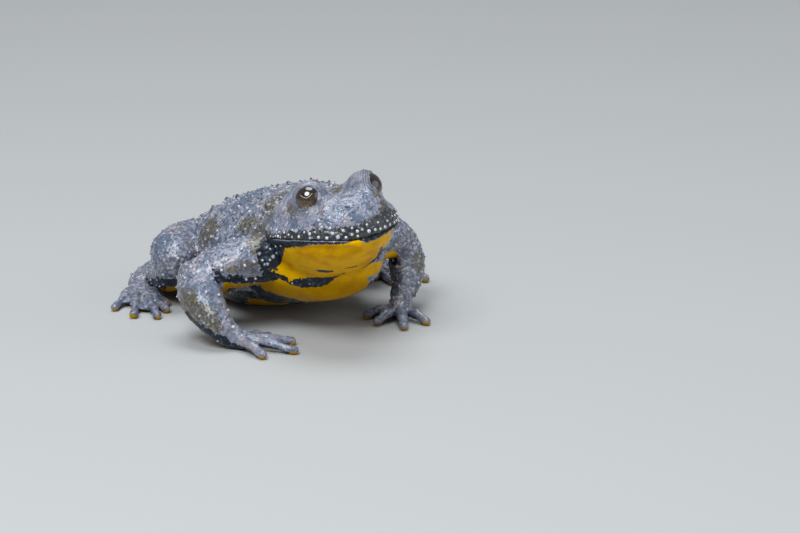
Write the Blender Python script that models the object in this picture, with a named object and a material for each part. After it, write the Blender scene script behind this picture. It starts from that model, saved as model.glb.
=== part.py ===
# Fire-bellied toad, of the yellow-bellied species, sitting up on its forelegs with its head raised.
# It is a still, life-size model: each named part of the body is one closed solid of its own.
# The toad faces -Y and its left side is +X. The floor is Z = 0, and the origin is the middle of the
# model's footprint box on the floor. Lengths in the tables are millimetres, and MM turns them into metres.

import math

import bmesh
import bpy
import numpy as np
from mathutils import Euler, Matrix, Vector

MM = 0.001

# Driving sizes, in millimetres
GAP = 0.3
EYE_RADIUS = 1.85
EYE_AT = Vector((3.55, -7.1, 4.5))
EYE_LOOK_OUT = math.radians(32.0)
EYE_LOOK_UP = math.radians(14.0)
LID_SETBACK = 0.6
LID_RADIUS = 2.32
CHEEK_BALL = (3.7, -3.2, 3.0, 2.7)
BROW_BALL = (3.0, -8.9, 2.8, 2.2)
HEAD_HALF_WIDTH = 7.6
HEAD_DROP = 1.6
SNOUT_LENGTH = 12.7
SNOUT_POWER = 2.35
SNOUT_END = 0.03
JAW_SPREAD = 0.012
JAW_INSET = 0.25
JAW_RISE = 1.2
CHIN_SETBACK = 0.4
TIP_HEIGHT = 0.8
LAST_JOINT = 0.84
FINGER_RADIUS = 0.66
FINGER_LIFT = 0.25
FINGER_START = 1.0
TOE_RADIUS = 0.62
TOE_LIFT = 0.2
TOE_START = 0.5
WEB_THICKNESS = 0.6
WEB_START = 0.05
WEB_END = 0.72
WEB_HOLLOW = 0.3
WEB_FLATTEN = 0.42
WEB_HEIGHT = 0.25
CUT_REACH = 60.0

# Thickness of a finger or toe at the palm, the knuckle, the last joint and the tip, in its own radius
DIGIT_SHAPE = (1.2, 1.05, 0.85, 0.95)

# Rounding of the cross sections: 2 is an ellipse, more is fuller
HEAD_POWERS = (2.3, 2.0)
THROAT_POWERS = (2.0, 1.9)
TRUNK_POWERS = (2.15, 2.3)

# Size of the merging grid, triangles aimed at and rounds of smoothing, for each kind of part
CORE_MESH = (0.4, 2900, 6)
UPPER_ARM_MESH = (0.35, 220, 3)
FOREARM_MESH = (0.35, 230, 3)
HAND_MESH = (0.26, 430, 2)
THIGH_MESH = (0.4, 220, 3)
SHANK_MESH = (0.35, 230, 3)
FOOT_MESH = (0.26, 620, 2)

# How the head is held: turned to its right, snout up, left side up
HEAD_ORIGIN = Vector((-0.4, -12.0, 13.0))
HEAD_YAW = math.radians(-7.0)
HEAD_PITCH = math.radians(-9.5)
HEAD_ROLL = math.radians(-6.5)
SHOULDER_ROLL = math.radians(-9.0)
SHOULDER_FADE = 1.5
THROAT_FOLD = Vector((-0.1, -11.6, 6.7))
NECK_LEAN = math.radians(17.0)

# Finish of each part: colour, roughness
BACK_GREY = ((0.16, 0.16, 0.175), 0.35)
FACE_GREY = ((0.19, 0.185, 0.20), 0.32)
THROAT_YELLOW = ((0.72, 0.38, 0.02), 0.35)
LIMB_GREY = ((0.15, 0.155, 0.18), 0.38)
EYE_DARK = ((0.045, 0.03, 0.018), 0.08)

# Trunk stations from the vent to the neck:
# y, centre height, half width, rise, drop, lean of the section in degrees
TRUNK = (
    (21.4, 4.0, 2.0, 1.5, 1.5, -20),
    (19.6, 4.2, 4.6, 2.6, 2.8, -14),
    (15.8, 4.9, 7.8, 4.2, 4.8, -8),
    (10.6, 5.9, 9.9, 5.8, 6.2, 0),
    (4.0, 6.8, 10.7, 7.35, 7.15, 6),
    (-2.5, 7.6, 10.2, 8.3, 6.2, 10),
    (-7.5, 8.9, 8.9, 8.1, 5.9, 14),
    (-11.0, 9.9, 7.5, 7.2, 6.1, 17),
    (-13.8, 10.6, 5.6, 5.4, 5.4, 18),
    (-15.6, 11.0, 3.0, 2.4, 2.8, 18),
)

# Head stations from behind the jaw to the snout: y, height of the crown over the mouth line
CROWN = (
    (4.0, 3.2),
    (1.5, 4.4),
    (-2.0, 4.4),
    (-6.2, 4.1),
    (-9.2, 4.35),
    (-11.2, 4.0),
    (-12.2, 2.9),
    (-12.7, 1.3),
)

# Throat stations: y, depth under the mouth line
THROAT = ((3.0, 7.2), (0.5, 7.0), (-3.0, 6.1), (-6.5, 4.9), (-9.5, 3.4), (-11.4, 2.0), (-12.3, 0.7))

# Limb stations: x, y, z, radius
UPPER_ARM = {
    "right": ((-6.5, -9.0, 9.2, 3.2), (-11.0, -8.6, 8.6, 2.9), (-15.3, -7.4, 6.9, 2.5)),
    "left": ((6.2, -8.2, 9.6, 3.1), (10.2, -6.4, 9.2, 2.6), (13.0, -4.4, 7.8, 2.15)),
}
FOREARM = {
    "right": (
        (-15.3, -7.4, 6.9, 2.45),
        (-16.0, -10.2, 5.3, 2.6),
        (-15.6, -12.6, 3.6, 2.1),
        (-14.8, -13.8, 2.5, 1.6),
    ),
    "left": (
        (13.0, -4.4, 7.8, 2.1),
        (13.0, -6.2, 5.5, 2.25),
        (11.9, -8.0, 3.5, 1.8),
        (10.9, -9.1, 2.4, 1.4),
    ),
}
PALM = {
    "right": ((-14.9, -13.7, 2.3, 1.5), (-13.2, -14.6, 1.25, 1.35), (-12.0, -15.4, 0.9, 1.0)),
    "left": ((11.0, -9.0, 2.2, 1.35), (10.1, -10.3, 1.25, 1.3), (9.5, -11.3, 0.9, 1.0)),
}
FINGER_TIPS = {
    "right": ((-8.6, -12.9), (-6.9, -16.2), (-8.2, -19.9), (-12.4, -20.2)),
    "left": ((6.0, -9.6), (5.8, -12.9), (8.0, -16.0), (11.4, -15.2)),
}
THIGH = ((4.2, 15.6, 4.9, 3.3), (8.6, 11.8, 5.6, 3.5), (12.0, 8.0, 6.3, 3.2), (13.3, 5.4, 6.4, 2.8))
SHANK = ((13.6, 5.6, 4.8, 2.1), (12.9, 9.0, 3.5, 2.4), (11.3, 13.4, 3.0, 2.2), (9.6, 17.6, 2.3, 1.5))
TARSUS = ((9.7, 17.9, 2.1, 1.15), (12.2, 16.9, 1.5, 1.35), (14.9, 13.9, 1.1, 1.3))
TOE_TIPS = ((14.3, 6.2), (15.4, 3.3), (17.4, 1.2), (19.8, 2.9), (20.8, 6.9))
LEG_SPREAD = {"right": -1.0, "left": 1.0}


def eased(keys, at):
    """Smooth values between key rows. The first number of each row says where it holds."""
    rows = np.array(keys, float)
    places, values = rows[:, 0], rows[:, 1:]
    if places[0] > places[-1]:
        places, values = places[::-1], values[::-1]
    slopes = np.gradient(values, places, axis=0)
    k = min(max(np.searchsorted(places, at) - 1, 0), len(places) - 2)
    span = places[k + 1] - places[k]
    t = (at - places[k]) / span
    blend = (2 * t**3 - 3 * t**2 + 1, t**3 - 2 * t**2 + t, 3 * t**2 - 2 * t**3, t**3 - t**2)
    return (
        blend[0] * values[k]
        + blend[1] * span * slopes[k]
        + blend[2] * values[k + 1]
        + blend[3] * span * slopes[k + 1]
    )


def section(half_width, rise, drop, points, powers):
    """A rounded section across X and Z: rise over its widest level and drop under it."""
    outline = []
    for k in range(points):
        angle = 2 * math.pi * k / points
        c, s = math.cos(angle), math.sin(angle)
        bend = powers[0] if s > 0 else powers[1]
        height = rise if s > 0 else drop
        x = half_width * math.copysign(abs(c) ** (2 / bend), c)
        outline.append(Vector((x, 0, height * math.copysign(abs(s) ** (2 / bend), s))))
    return outline


def add_loft(bm, rings, place=None):
    """A closed skin through rings of points, with both ends filled."""
    place = place or Matrix.Identity(4)
    loops = [[bm.verts.new(place @ point * MM) for point in ring] for ring in rings]
    count = len(loops[0])
    for near, far in zip(loops, loops[1:]):
        for k in range(count):
            bm.faces.new((near[k], near[(k + 1) % count], far[(k + 1) % count], far[k]))
    bm.faces.new(loops[0][::-1])
    bm.faces.new(loops[-1])


def add_ball(bm, centre, radius, place=None, segments=20):
    place = place or Matrix.Identity(4)
    at = Matrix.Translation(place @ Vector(centre) * MM)
    bmesh.ops.create_uvsphere(
        bm, u_segments=segments, v_segments=segments // 2 + 2, radius=radius * MM, matrix=at
    )


def path_point(stations, t):
    """Centre and radius at t, from 0 at the first station to 1 at the last."""
    keys = [(k / (len(stations) - 1), *row) for k, row in enumerate(stations)]
    x, y, z, radius = eased(keys, t)
    return Vector((x, y, z)), float(radius)


def add_tube(bm, stations, steps=16, points=18):
    """A round limb through its stations, with round ends."""
    rings = []
    for k in range(steps + 1):
        t = k / steps
        centre, radius = path_point(stations, t)
        after = path_point(stations, min(t + 0.02, 1.0))[0]
        before = path_point(stations, max(t - 0.02, 0.0))[0]
        ahead = after - before
        side = ahead.cross(Vector((0, 0, 1))).normalized()
        up = side.cross(ahead).normalized()
        turn = [2 * math.pi * n / points for n in range(points)]
        rings.append([centre + radius * (math.cos(a) * side + math.sin(a) * up) for a in turn])
    add_loft(bm, rings)
    for row in (stations[0], stations[-1]):
        add_ball(bm, row[:3], row[3])


def solid(name, build, meshing):
    """Shapes that overlap, merged into one closed mesh of about the given number of triangles."""
    voxel, triangles, smoothing = meshing
    bm = bmesh.new()
    build(bm)
    bmesh.ops.recalc_face_normals(bm, faces=bm.faces)
    rough = bpy.data.meshes.new(name + "_rough")
    bm.to_mesh(rough)
    bm.free()
    helper = bpy.data.objects.new(name + "_rough", rough)
    bpy.context.collection.objects.link(helper)
    remesh = helper.modifiers.new("Merge", "REMESH")
    remesh.mode = "VOXEL"
    remesh.voxel_size = voxel * MM
    relax = helper.modifiers.new("Relax", "SMOOTH")
    relax.iterations = smoothing
    faces = evaluated_mesh(helper, name + "_count")
    share = triangles / (2 * len(faces.polygons))
    bpy.data.meshes.remove(faces)
    thin = helper.modifiers.new("Thin", "DECIMATE")
    thin.ratio = min(1.0, share)
    mesh = evaluated_mesh(helper, name)
    bpy.data.objects.remove(helper)
    bpy.data.meshes.remove(rough)
    obj = bpy.data.objects.new(name, mesh)
    bpy.context.collection.objects.link(obj)
    return obj


def evaluated_mesh(obj, name):
    graph = bpy.context.evaluated_depsgraph_get()
    graph.update()
    mesh = bpy.data.meshes.new_from_object(obj.evaluated_get(graph))
    mesh.name = name
    return mesh


def as_cutter(obj):
    obj.hide_render = True
    obj.display_type = "WIRE"
    return obj


def swollen(obj):
    """A cutter with the shape of a part, larger by the gap on every side."""
    mesh = obj.data.copy()
    count = len(mesh.vertices)
    points = np.empty(count * 3)
    normals = np.empty(count * 3)
    mesh.vertices.foreach_get("co", points)
    mesh.vertex_normals.foreach_get("vector", normals)
    mesh.vertices.foreach_set("co", points + normals * GAP * MM)
    mesh.update()
    cutter = bpy.data.objects.new(obj.name + "_room", mesh)
    bpy.context.collection.objects.link(cutter)
    return as_cutter(cutter)


def block(name, low, high, place=None):
    """A cutting box between two corners, in the frame of the place."""
    low, high = Vector(low), Vector(high)
    bm = bmesh.new()
    bmesh.ops.create_cube(bm, size=1.0)
    place = place or Matrix.Identity(4)
    for vert in bm.verts:
        corner = Vector((low[k] + (vert.co[k] + 0.5) * (high[k] - low[k]) for k in range(3)))
        vert.co = place @ corner * MM
    mesh = bpy.data.meshes.new(name)
    bm.to_mesh(mesh)
    bm.free()
    cutter = bpy.data.objects.new(name, mesh)
    bpy.context.collection.objects.link(cutter)
    return as_cutter(cutter)


def cut(obj, *cutters):
    for cutter in cutters:
        boolean = obj.modifiers.new(cutter.name, "BOOLEAN")
        boolean.operation = "DIFFERENCE"
        boolean.solver = "EXACT"
        boolean.object = cutter


def paint(obj, finish):
    colour, roughness = finish
    material = bpy.data.materials.new(obj.name + "_finish")
    material.use_nodes = True
    shader = material.node_tree.nodes["Principled BSDF"]
    shader.inputs["Base Color"].default_value = (*colour, 1.0)
    shader.inputs["Roughness"].default_value = roughness
    shader.inputs["Metallic"].default_value = 0.0
    obj.data.materials.clear()
    obj.data.materials.append(material)
    obj.data.shade_smooth()


def head_place():
    turn = Euler((0, 0, HEAD_YAW)).to_matrix() @ Euler((HEAD_PITCH, 0, 0)).to_matrix()
    turn = turn @ Euler((0, HEAD_ROLL, 0)).to_matrix()
    return Matrix.Translation(HEAD_ORIGIN) @ turn.to_4x4()


def jaw_half_width(y, length, half_width):
    """The rounded outline of the jaws from above: full behind the mouth corners, closing at the snout."""
    if y >= 0:
        return half_width * (1 - JAW_SPREAD * y * y)
    reach = min(1.0, -y / length)
    return half_width * (1 - reach**SNOUT_POWER) ** (1 / SNOUT_POWER)


def station_run(first, last, count, crowd=0.55):
    """Places from first to last, closer together near the last."""
    return [first + (last - first) * (1 - (1 - k / count) ** (1 / crowd)) for k in range(count + 1)]


def build_head(bm):
    place = head_place()
    rings = []
    for y in station_run(CROWN[0][0], SNOUT_END - SNOUT_LENGTH, 20):
        width = jaw_half_width(y, SNOUT_LENGTH, HEAD_HALF_WIDTH)
        crown = float(eased(CROWN, y)[0])
        outline = section(width, crown, HEAD_DROP, 32, HEAD_POWERS)
        rings.append([point + Vector((0, y, 0)) for point in outline])
    add_loft(bm, rings, place)
    for side in (-1, 1):
        centre = Vector((side * EYE_AT.x, EYE_AT.y, EYE_AT.z)) - LID_SETBACK * eye_axis(side)
        add_ball(bm, centre, LID_RADIUS, place, 28)
        for x, y, z, radius in (CHEEK_BALL, BROW_BALL):
            add_ball(bm, (side * x, y, z), radius, place)


def build_throat(bm):
    place = head_place()
    rings = []
    length = SNOUT_LENGTH - CHIN_SETBACK
    for y in station_run(THROAT[0][0], SNOUT_END - length, 20):
        width = jaw_half_width(y, length, HEAD_HALF_WIDTH - JAW_INSET)
        depth = float(eased(THROAT, y)[0])
        outline = section(width, JAW_RISE, depth, 32, THROAT_POWERS)
        rings.append([point + Vector((0, y, 0)) for point in outline])
    add_loft(bm, rings, place)


def build_trunk(bm):
    rings = []
    first, last = TRUNK[0][0], TRUNK[-1][0]
    steps = 34
    for k in range(steps + 1):
        y = first + (last - first) * k / steps
        height, half_width, rise, drop, lean = eased(TRUNK, y)
        share = (first - y) / (first - last)
        turn = Euler((-math.radians(lean), SHOULDER_ROLL * share**SHOULDER_FADE, 0)).to_matrix()
        at = Vector((0, y, height))
        outline = section(half_width, rise, drop, 36, TRUNK_POWERS)
        rings.append([at + turn @ point for point in outline])
    add_loft(bm, rings)


def build_core(bm):
    build_head(bm)
    build_throat(bm)
    build_trunk(bm)


def eye_axis(side):
    out, up = EYE_LOOK_OUT, EYE_LOOK_UP
    return Vector((side * math.sin(out) * math.cos(up), -math.cos(out) * math.cos(up), math.sin(up)))


def digit(start, tip, radius, lift):
    """Stations of a finger or toe that arches from the palm to its tip on the floor."""
    start, tip = Vector(start), Vector((tip[0], tip[1], radius * TIP_HEIGHT))
    knuckle = start.lerp(tip, 0.5) + Vector((0, 0, lift))
    places = (start, knuckle, start.lerp(tip, LAST_JOINT), tip)
    return tuple((*place, radius * share) for place, share in zip(places, DIGIT_SHAPE))


def build_hand(side):
    def build(bm):
        add_tube(bm, PALM[side])
        base = Vector(PALM[side][1][:3])
        for tip in FINGER_TIPS[side]:
            away = (Vector((*tip, 0)) - base).normalized()
            start = base + FINGER_START * away
            add_tube(bm, digit(start, tip, FINGER_RADIUS, FINGER_LIFT), 10, 12)

    return build


def mirrored(stations, side):
    return tuple((row[0] * LEG_SPREAD[side], *row[1:]) for row in stations)


def add_web(bm, one, other, steps=8, points=16):
    """Skin between two toes, hollowed along its free edge."""
    rings = []
    for step in range(steps + 1):
        t = WEB_START + (WEB_END - WEB_START) * step / steps
        ring = []
        for k in range(points):
            angle = 2 * math.pi * k / points
            across = (1 - math.cos(angle)) / 2
            back = t * (1 - WEB_HOLLOW * math.sin(math.pi * across))
            a, b = path_point(one, back)[0], path_point(other, back)[0]
            point = a.lerp(b, across)
            point.z = WEB_FLATTEN * point.z + WEB_HEIGHT + WEB_THICKNESS / 2 * math.sin(angle)
            ring.append(point)
        rings.append(ring)
    add_loft(bm, rings)


def build_foot(side):
    def build(bm):
        tarsus = mirrored(TARSUS, side)
        add_tube(bm, tarsus)
        base = Vector(tarsus[-1][:3])
        toes = []
        for tip in mirrored(TOE_TIPS, side):
            away = (Vector((*tip, 0)) - base).normalized()
            toes.append(digit(base + TOE_START * away, tip, TOE_RADIUS, TOE_LIFT))
        for toe in toes:
            add_tube(bm, toe, 12, 12)
        for one, other in zip(toes, toes[1:]):
            add_web(bm, one, other)

    return build


def build_limb(stations):
    return lambda bm: add_tube(bm, stations)


def build_eye(side):
    centre = (side * EYE_AT.x, EYE_AT.y, EYE_AT.z)
    return lambda bm: add_ball(bm, centre, EYE_RADIUS, head_place(), 16)


def copy_of(obj, name):
    copy = bpy.data.objects.new(name, obj.data.copy())
    bpy.context.collection.objects.link(copy)
    return copy


def add_eye(name, side):
    bm = bmesh.new()
    build_eye(side)(bm)
    mesh = bpy.data.meshes.new(name)
    bm.to_mesh(mesh)
    bm.free()
    obj = bpy.data.objects.new(name, mesh)
    bpy.context.collection.objects.link(obj)
    return obj


def mouth_cutters(place):
    """Boxes that part the head from the lower jaw along the mouth line."""
    far = CUT_REACH
    above = block("above_mouth", (-far, -far, -GAP / 2), (far, far, far), place)
    below = block("below_mouth", (-far, -far, -far), (far, far, GAP / 2), place)
    return above, below


def neck_cutters(place):
    """Boxes that part head and throat from the trunk, along the neck and the fold under the throat."""
    far = CUT_REACH
    behind = block("behind_neck", (-far, -GAP / 2, -far), (far, far, far), place)
    under = block("under_throat", (-far, -far, -far), (far, far, GAP / 2), place)
    before = block("before_neck", (-far, -far, -GAP / 2), (far, GAP / 2, far), place)
    return behind, under, before


def main():
    for obj in list(bpy.data.objects):
        bpy.data.objects.remove(obj)

    place = head_place()
    core = solid("core", build_core, CORE_MESH)
    eyes = {"right": add_eye("eye_right", -1), "left": add_eye("eye_left", 1)}
    arms = {}
    for side in ("right", "left"):
        arms[side] = (
            solid("upper_arm_" + side, build_limb(UPPER_ARM[side]), UPPER_ARM_MESH),
            solid("forearm_" + side, build_limb(FOREARM[side]), FOREARM_MESH),
            solid("hand_" + side, build_hand(side), HAND_MESH),
        )
    legs = {}
    for side in ("right", "left"):
        legs[side] = (
            solid("thigh_" + side, build_limb(mirrored(THIGH, side)), THIGH_MESH),
            solid("shank_" + side, build_limb(mirrored(SHANK, side)), SHANK_MESH),
            solid("foot_" + side, build_foot(side), FOOT_MESH),
        )

    parts = [core, *eyes.values(), *sum(arms.values(), ()), *sum(legs.values(), ())]
    corners = np.array([v.co for part in parts for v in part.data.vertices])
    middle = (corners.min(axis=0) + corners.max(axis=0)) / 2
    home = Matrix.Translation((-middle[0], -middle[1], 0))
    for part in parts:
        part.data.transform(home)
    place_home = Matrix.Translation(home.translation / MM) @ place

    floor = block("floor_room", (-CUT_REACH, -CUT_REACH, -CUT_REACH), (CUT_REACH, CUT_REACH, 0))
    neck_turn = Euler((-NECK_LEAN, SHOULDER_ROLL, 0)).to_matrix().to_4x4()
    neck_place = Matrix.Translation(home.translation / MM + THROAT_FOLD) @ neck_turn
    behind, under, before = neck_cutters(neck_place)
    core_room = swollen(core)

    head = core
    head.name = "head"
    trunk = copy_of(core, "trunk")
    jaw = copy_of(core, "lower_jaw")
    cut(trunk, before, floor)
    above, below = mouth_cutters(place_home)
    cut(head, behind, below, swollen(eyes["right"]), swollen(eyes["left"]))
    cut(jaw, behind, under, above)

    for side in ("right", "left"):
        upper, fore, hand = arms[side]
        cut(upper, core_room)
        cut(fore, swollen(upper), core_room)
        cut(hand, swollen(fore), floor)
        thigh, shank, foot = legs[side]
        cut(thigh, core_room)
        cut(shank, swollen(thigh), core_room)
        cut(foot, swollen(shank), floor)

    paint(head, FACE_GREY)
    paint(jaw, THROAT_YELLOW)
    paint(trunk, BACK_GREY)
    for eye in eyes.values():
        paint(eye, EYE_DARK)
    for side in ("right", "left"):
        for part in arms[side] + legs[side]:
            paint(part, LIMB_GREY)


main()
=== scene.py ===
import math

import bmesh
import bpy
import numpy as np
from mathutils import Euler, Matrix, Vector, noise
from mathutils.kdtree import KDTree


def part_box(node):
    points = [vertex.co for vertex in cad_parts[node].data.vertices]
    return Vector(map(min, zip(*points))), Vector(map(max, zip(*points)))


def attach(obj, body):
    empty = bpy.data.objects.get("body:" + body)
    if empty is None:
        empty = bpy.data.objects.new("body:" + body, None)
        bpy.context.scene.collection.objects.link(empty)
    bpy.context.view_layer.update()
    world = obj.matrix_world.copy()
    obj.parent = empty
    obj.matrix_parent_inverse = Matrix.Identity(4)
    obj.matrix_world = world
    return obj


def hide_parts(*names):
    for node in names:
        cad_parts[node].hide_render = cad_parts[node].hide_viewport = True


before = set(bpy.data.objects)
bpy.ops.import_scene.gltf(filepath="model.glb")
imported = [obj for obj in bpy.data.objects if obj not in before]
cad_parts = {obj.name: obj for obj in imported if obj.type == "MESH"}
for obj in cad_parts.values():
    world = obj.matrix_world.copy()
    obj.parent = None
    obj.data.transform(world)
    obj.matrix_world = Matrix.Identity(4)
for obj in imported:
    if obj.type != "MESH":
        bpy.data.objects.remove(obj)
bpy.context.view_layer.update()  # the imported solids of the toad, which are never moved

mm = 0.001  # everything below is written in millimetres of the live toad, and scaled on the way out

# How the head is carried, and its main shapes. In the head's own frame +X is the toad's left, -Y the snout,
# and Z = 0 is the mouth line.
headShape = {
    "origin": (-0.4, -12.0, 13.0),      # between the mouth corners
    "turn": (-9.5, -6.5, -7.0),         # snout up, left side up, turned to its right, degrees
    "halfWidth": 7.6,
    "length": 12.7,
    "outlinePower": 2.35,
    "jawInset": 0.25,
    "chinSetback": 0.4,
    # y along the head, then how high or deep it is there
    "crown": ((4.0, 3.2), (1.5, 4.4), (-2.0, 4.4), (-6.2, 4.1), (-9.2, 4.35), (-11.2, 4.0), (-12.2, 2.9),
              (-12.7, 1.3)),
    "throat": ((3.0, 7.2), (0.5, 7.0), (-3.0, 6.1), (-6.5, 4.9), (-9.5, 3.4), (-11.4, 2.0), (-12.3, 0.7)),
    "cheek": (3.7, -3.2, 3.0, 2.7),     # x, y, z, radius
    "brow": (3.0, -8.9, 2.8, 2.2),
    "crownRear": 4.0,                   # where the two halves start inside the neck
    "throatRear": 3.0,
    "crownTuck": 1.6,                   # how far each half reaches into the other
    "throatTuck": 1.2,
    "crownPowers": (2.3, 2.0),          # of the outline over and under the mouth line
    "throatPowers": (2.0, 1.9),
    "slices": 34,
}

eyeShape = {
    "centre": (3.55, -7.1, 4.5),
    "radius": 1.85,
    "bulge": 0.10,                      # of the cornea
    "lids": {"right": (17.0, 6.0), "left": (58.0, 14.0)},       # degrees out from straight ahead, and up
    "gaze": {"right": (26.0, 17.0), "left": (78.0, 18.0)},      # of the pupil
    "mound": (32.0, 14.0),
    "lidSetback": 0.6,
    "lidRadius": 2.32,
}

# Trunk rows from vent to breast: y, centre height, half width, rise, drop, lean
trunkShape = {
    "rows": (
        (21.4, 4.0, 2.0, 1.5, 1.5, -20), (19.6, 4.2, 4.6, 2.6, 2.8, -14), (15.8, 4.9, 7.8, 4.2, 4.8, -8),
        (10.6, 5.9, 9.9, 5.8, 6.2, 0), (4.0, 6.8, 10.7, 7.35, 7.15, 6), (-2.5, 7.6, 10.2, 8.3, 6.2, 10),
        (-7.5, 8.9, 8.9, 8.1, 5.9, 14), (-11.0, 9.9, 7.5, 7.2, 6.1, 17), (-13.8, 10.6, 5.6, 5.4, 5.4, 18),
        (-15.6, 11.0, 3.0, 2.4, 2.8, 18),
    ),
    "roll": -9.0,                       # at the breast, fading to none at the vent
    "powers": (2.15, 2.3),              # of the outline over and under its middle
    "slices": 60,
}

# Limb rows: x, y, z, radius
armShape = {
    "right": {
        "upper": ((-6.5, -9.0, 9.2, 3.2), (-11.0, -8.6, 8.6, 2.9), (-15.3, -7.4, 6.9, 2.5)),
        "fore": ((-15.3, -7.4, 6.9, 2.45), (-16.0, -10.2, 5.3, 2.6), (-15.6, -12.6, 3.6, 2.1),
                 (-14.8, -13.8, 2.5, 1.6)),
        "palm": ((-14.9, -13.7, 2.3, 1.5), (-13.2, -14.6, 1.25, 1.35), (-12.0, -15.4, 0.9, 1.0)),
        "tips": ((-8.6, -12.9), (-6.9, -16.2), (-8.2, -19.9), (-12.4, -20.2)),
    },
    "left": {
        "upper": ((6.2, -8.2, 9.6, 3.1), (10.2, -6.4, 9.2, 2.6), (13.0, -4.4, 7.8, 2.15)),
        "fore": ((13.0, -4.4, 7.8, 2.1), (13.0, -6.2, 5.5, 2.25), (11.9, -8.0, 3.5, 1.8),
                 (10.9, -9.1, 2.4, 1.4)),
        "palm": ((11.0, -9.0, 2.2, 1.35), (10.1, -10.3, 1.25, 1.3), (9.5, -11.3, 0.9, 1.0)),
        "tips": ((6.0, -9.6), (5.8, -12.9), (8.0, -16.0), (11.4, -15.2)),
    },
    "digitRadius": 0.66,
    "digitStart": 1.0,                  # out from the middle of the palm
    "knuckleLift": 0.25,
}

legShape = {
    "thigh": ((4.2, 15.6, 4.9, 3.3), (8.6, 11.8, 5.6, 3.5), (12.0, 8.0, 6.3, 3.2), (13.3, 5.4, 6.4, 2.8)),
    "shank": ((13.6, 5.6, 4.8, 2.1), (12.9, 9.0, 3.5, 2.4), (11.3, 13.4, 3.0, 2.2), (9.6, 17.6, 2.3, 1.5)),
    "tarsus": ((9.7, 17.9, 2.1, 1.15), (12.2, 16.9, 1.5, 1.35), (14.9, 13.9, 1.1, 1.3)),
    "tips": ((14.3, 6.2), (15.4, 3.3), (17.4, 1.2), (19.8, 2.9), (20.8, 6.9)),
    "digitRadius": 0.62,
    "digitStart": 0.5,
    "knuckleLift": 0.2,
    "webThickness": 0.6,
    "webReach": (0.05, 0.72),           # along the toes
    "webHollow": 0.3,
    "webHeight": (0.25, 0.42),          # over the floor, and how much of the toes' rise it follows
}

digitShape = {
    "tipHeight": 0.8,                   # of the tip's middle, in radii
    "bends": (0.6, 0.5, 0.5, 0.86),     # towards the knuckle, the knuckle, past it, and before the tip
    "swell": (1.2, 0.88, 0.98, 0.74, 0.80, 0.78),   # radius from palm to tip
}

sides = {"right": -1.0, "left": 1.0}


def eased(rows, at):
    # smooth values between rows whose first number says where they hold; at may be a number or an array
    table = np.array(rows, float)
    if table[0, 0] > table[-1, 0]:
        table = table[::-1]
    places, values = table[:, 0], table[:, 1:]
    slopes = np.gradient(values, places, axis=0)
    at = np.asarray(at, float)
    k = np.clip(np.searchsorted(places, at) - 1, 0, len(places) - 2)
    span = (places[k + 1] - places[k])[..., None]
    t = (np.clip(at, places[0], places[-1]) - places[k])[..., None] / span
    return ((2 * t**3 - 3 * t**2 + 1) * values[k] + (t**3 - 2 * t**2 + t) * span * slopes[k]
            + (3 * t**2 - 2 * t**3) * values[k + 1] + (t**3 - t**2) * span * slopes[k + 1])


def smoothstep(low, high, value):
    t = np.clip((value - low) / (high - low), 0, 1)
    return t * t * (3 - 2 * t)


def headPlace():
    pitch, roll, yaw = (math.radians(a) for a in headShape["turn"])
    turn = Euler((0, 0, yaw)).to_matrix() @ Euler((pitch, 0, 0)).to_matrix()
    turn = turn @ Euler((0, roll, 0)).to_matrix()
    return Matrix.Translation(headShape["origin"]) @ turn.to_4x4()


def lookVector(side, look):
    out, up = (math.radians(angle) for angle in look)
    return Vector((side * math.sin(out) * math.cos(up), -math.cos(out) * math.cos(up), math.sin(up)))


def eyeCentre(side):
    x, y, z = eyeShape["centre"]
    return Vector((side * x, y, z))


# Shape building

def ringSection(halfWidth, rise, drop, count, power, powerUnder):
    # an outline that is rounder or squarer with its power, 2 being an ellipse
    ring = []
    for k in range(count):
        angle = 2 * math.pi * k / count
        c, s = math.cos(angle), math.sin(angle)
        bend, height = (power, rise) if s > 0 else (powerUnder, drop)
        ring.append(Vector((halfWidth * math.copysign(abs(c) ** (2 / bend), c), 0,
                            height * math.copysign(abs(s) ** (2 / bend), s))))
    return ring


def addLoft(shell, rings, place=Matrix.Identity(4)):
    # a closed body skinned over rings of equal count, capped at both ends
    start, count = len(shell["points"]), len(rings[0])
    for ring in rings:
        shell["points"] += [place @ point for point in ring]
    for row in range(start, start + (len(rings) - 1) * count, count):
        for k in range(count):
            a, b = row + k, row + (k + 1) % count
            shell["faces"].append((a, b, b + count, a + count))
    end = len(shell["points"])
    shell["faces"].append(tuple(range(start + count - 1, start - 1, -1)))
    shell["faces"].append(tuple(range(end - count, end)))


def addBall(shell, centre, radius, place=Matrix.Identity(4), count=36, levels=20):
    rings = []
    angles = [2 * math.pi * n / count for n in range(count)]
    for k in range(levels + 1):
        polar = math.radians(3 + 174 * k / levels)      # from just off one pole to just off the other
        level = Vector(centre) + Vector((0, 0, -radius * math.cos(polar)))
        reach = radius * math.sin(polar)
        rings.append([level + reach * Vector((math.cos(a), math.sin(a), 0)) for a in angles])
    addLoft(shell, rings, place)


def pathPoint(rows, t):
    keyed = [(k / (len(rows) - 1), *row) for k, row in enumerate(rows)]
    x, y, z, radius = eased(keyed, t)
    return Vector((x, y, z)), float(radius)


def addTube(shell, rows, steps=26, count=28):
    rings = []
    angles = [2 * math.pi * n / count for n in range(count)]
    for k in range(steps + 1):
        t = k / steps
        centre, radius = pathPoint(rows, t)
        ahead = pathPoint(rows, min(t + 0.02, 1.0))[0] - pathPoint(rows, max(t - 0.02, 0.0))[0]
        side = ahead.cross(Vector((0, 0, 1))).normalized()
        up = side.cross(ahead).normalized()
        rings.append([centre + radius * (math.cos(a) * side + math.sin(a) * up) for a in angles])
    addLoft(shell, rings)
    for row in (rows[0], rows[-1]):
        addBall(shell, row[:3], row[3])


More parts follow.
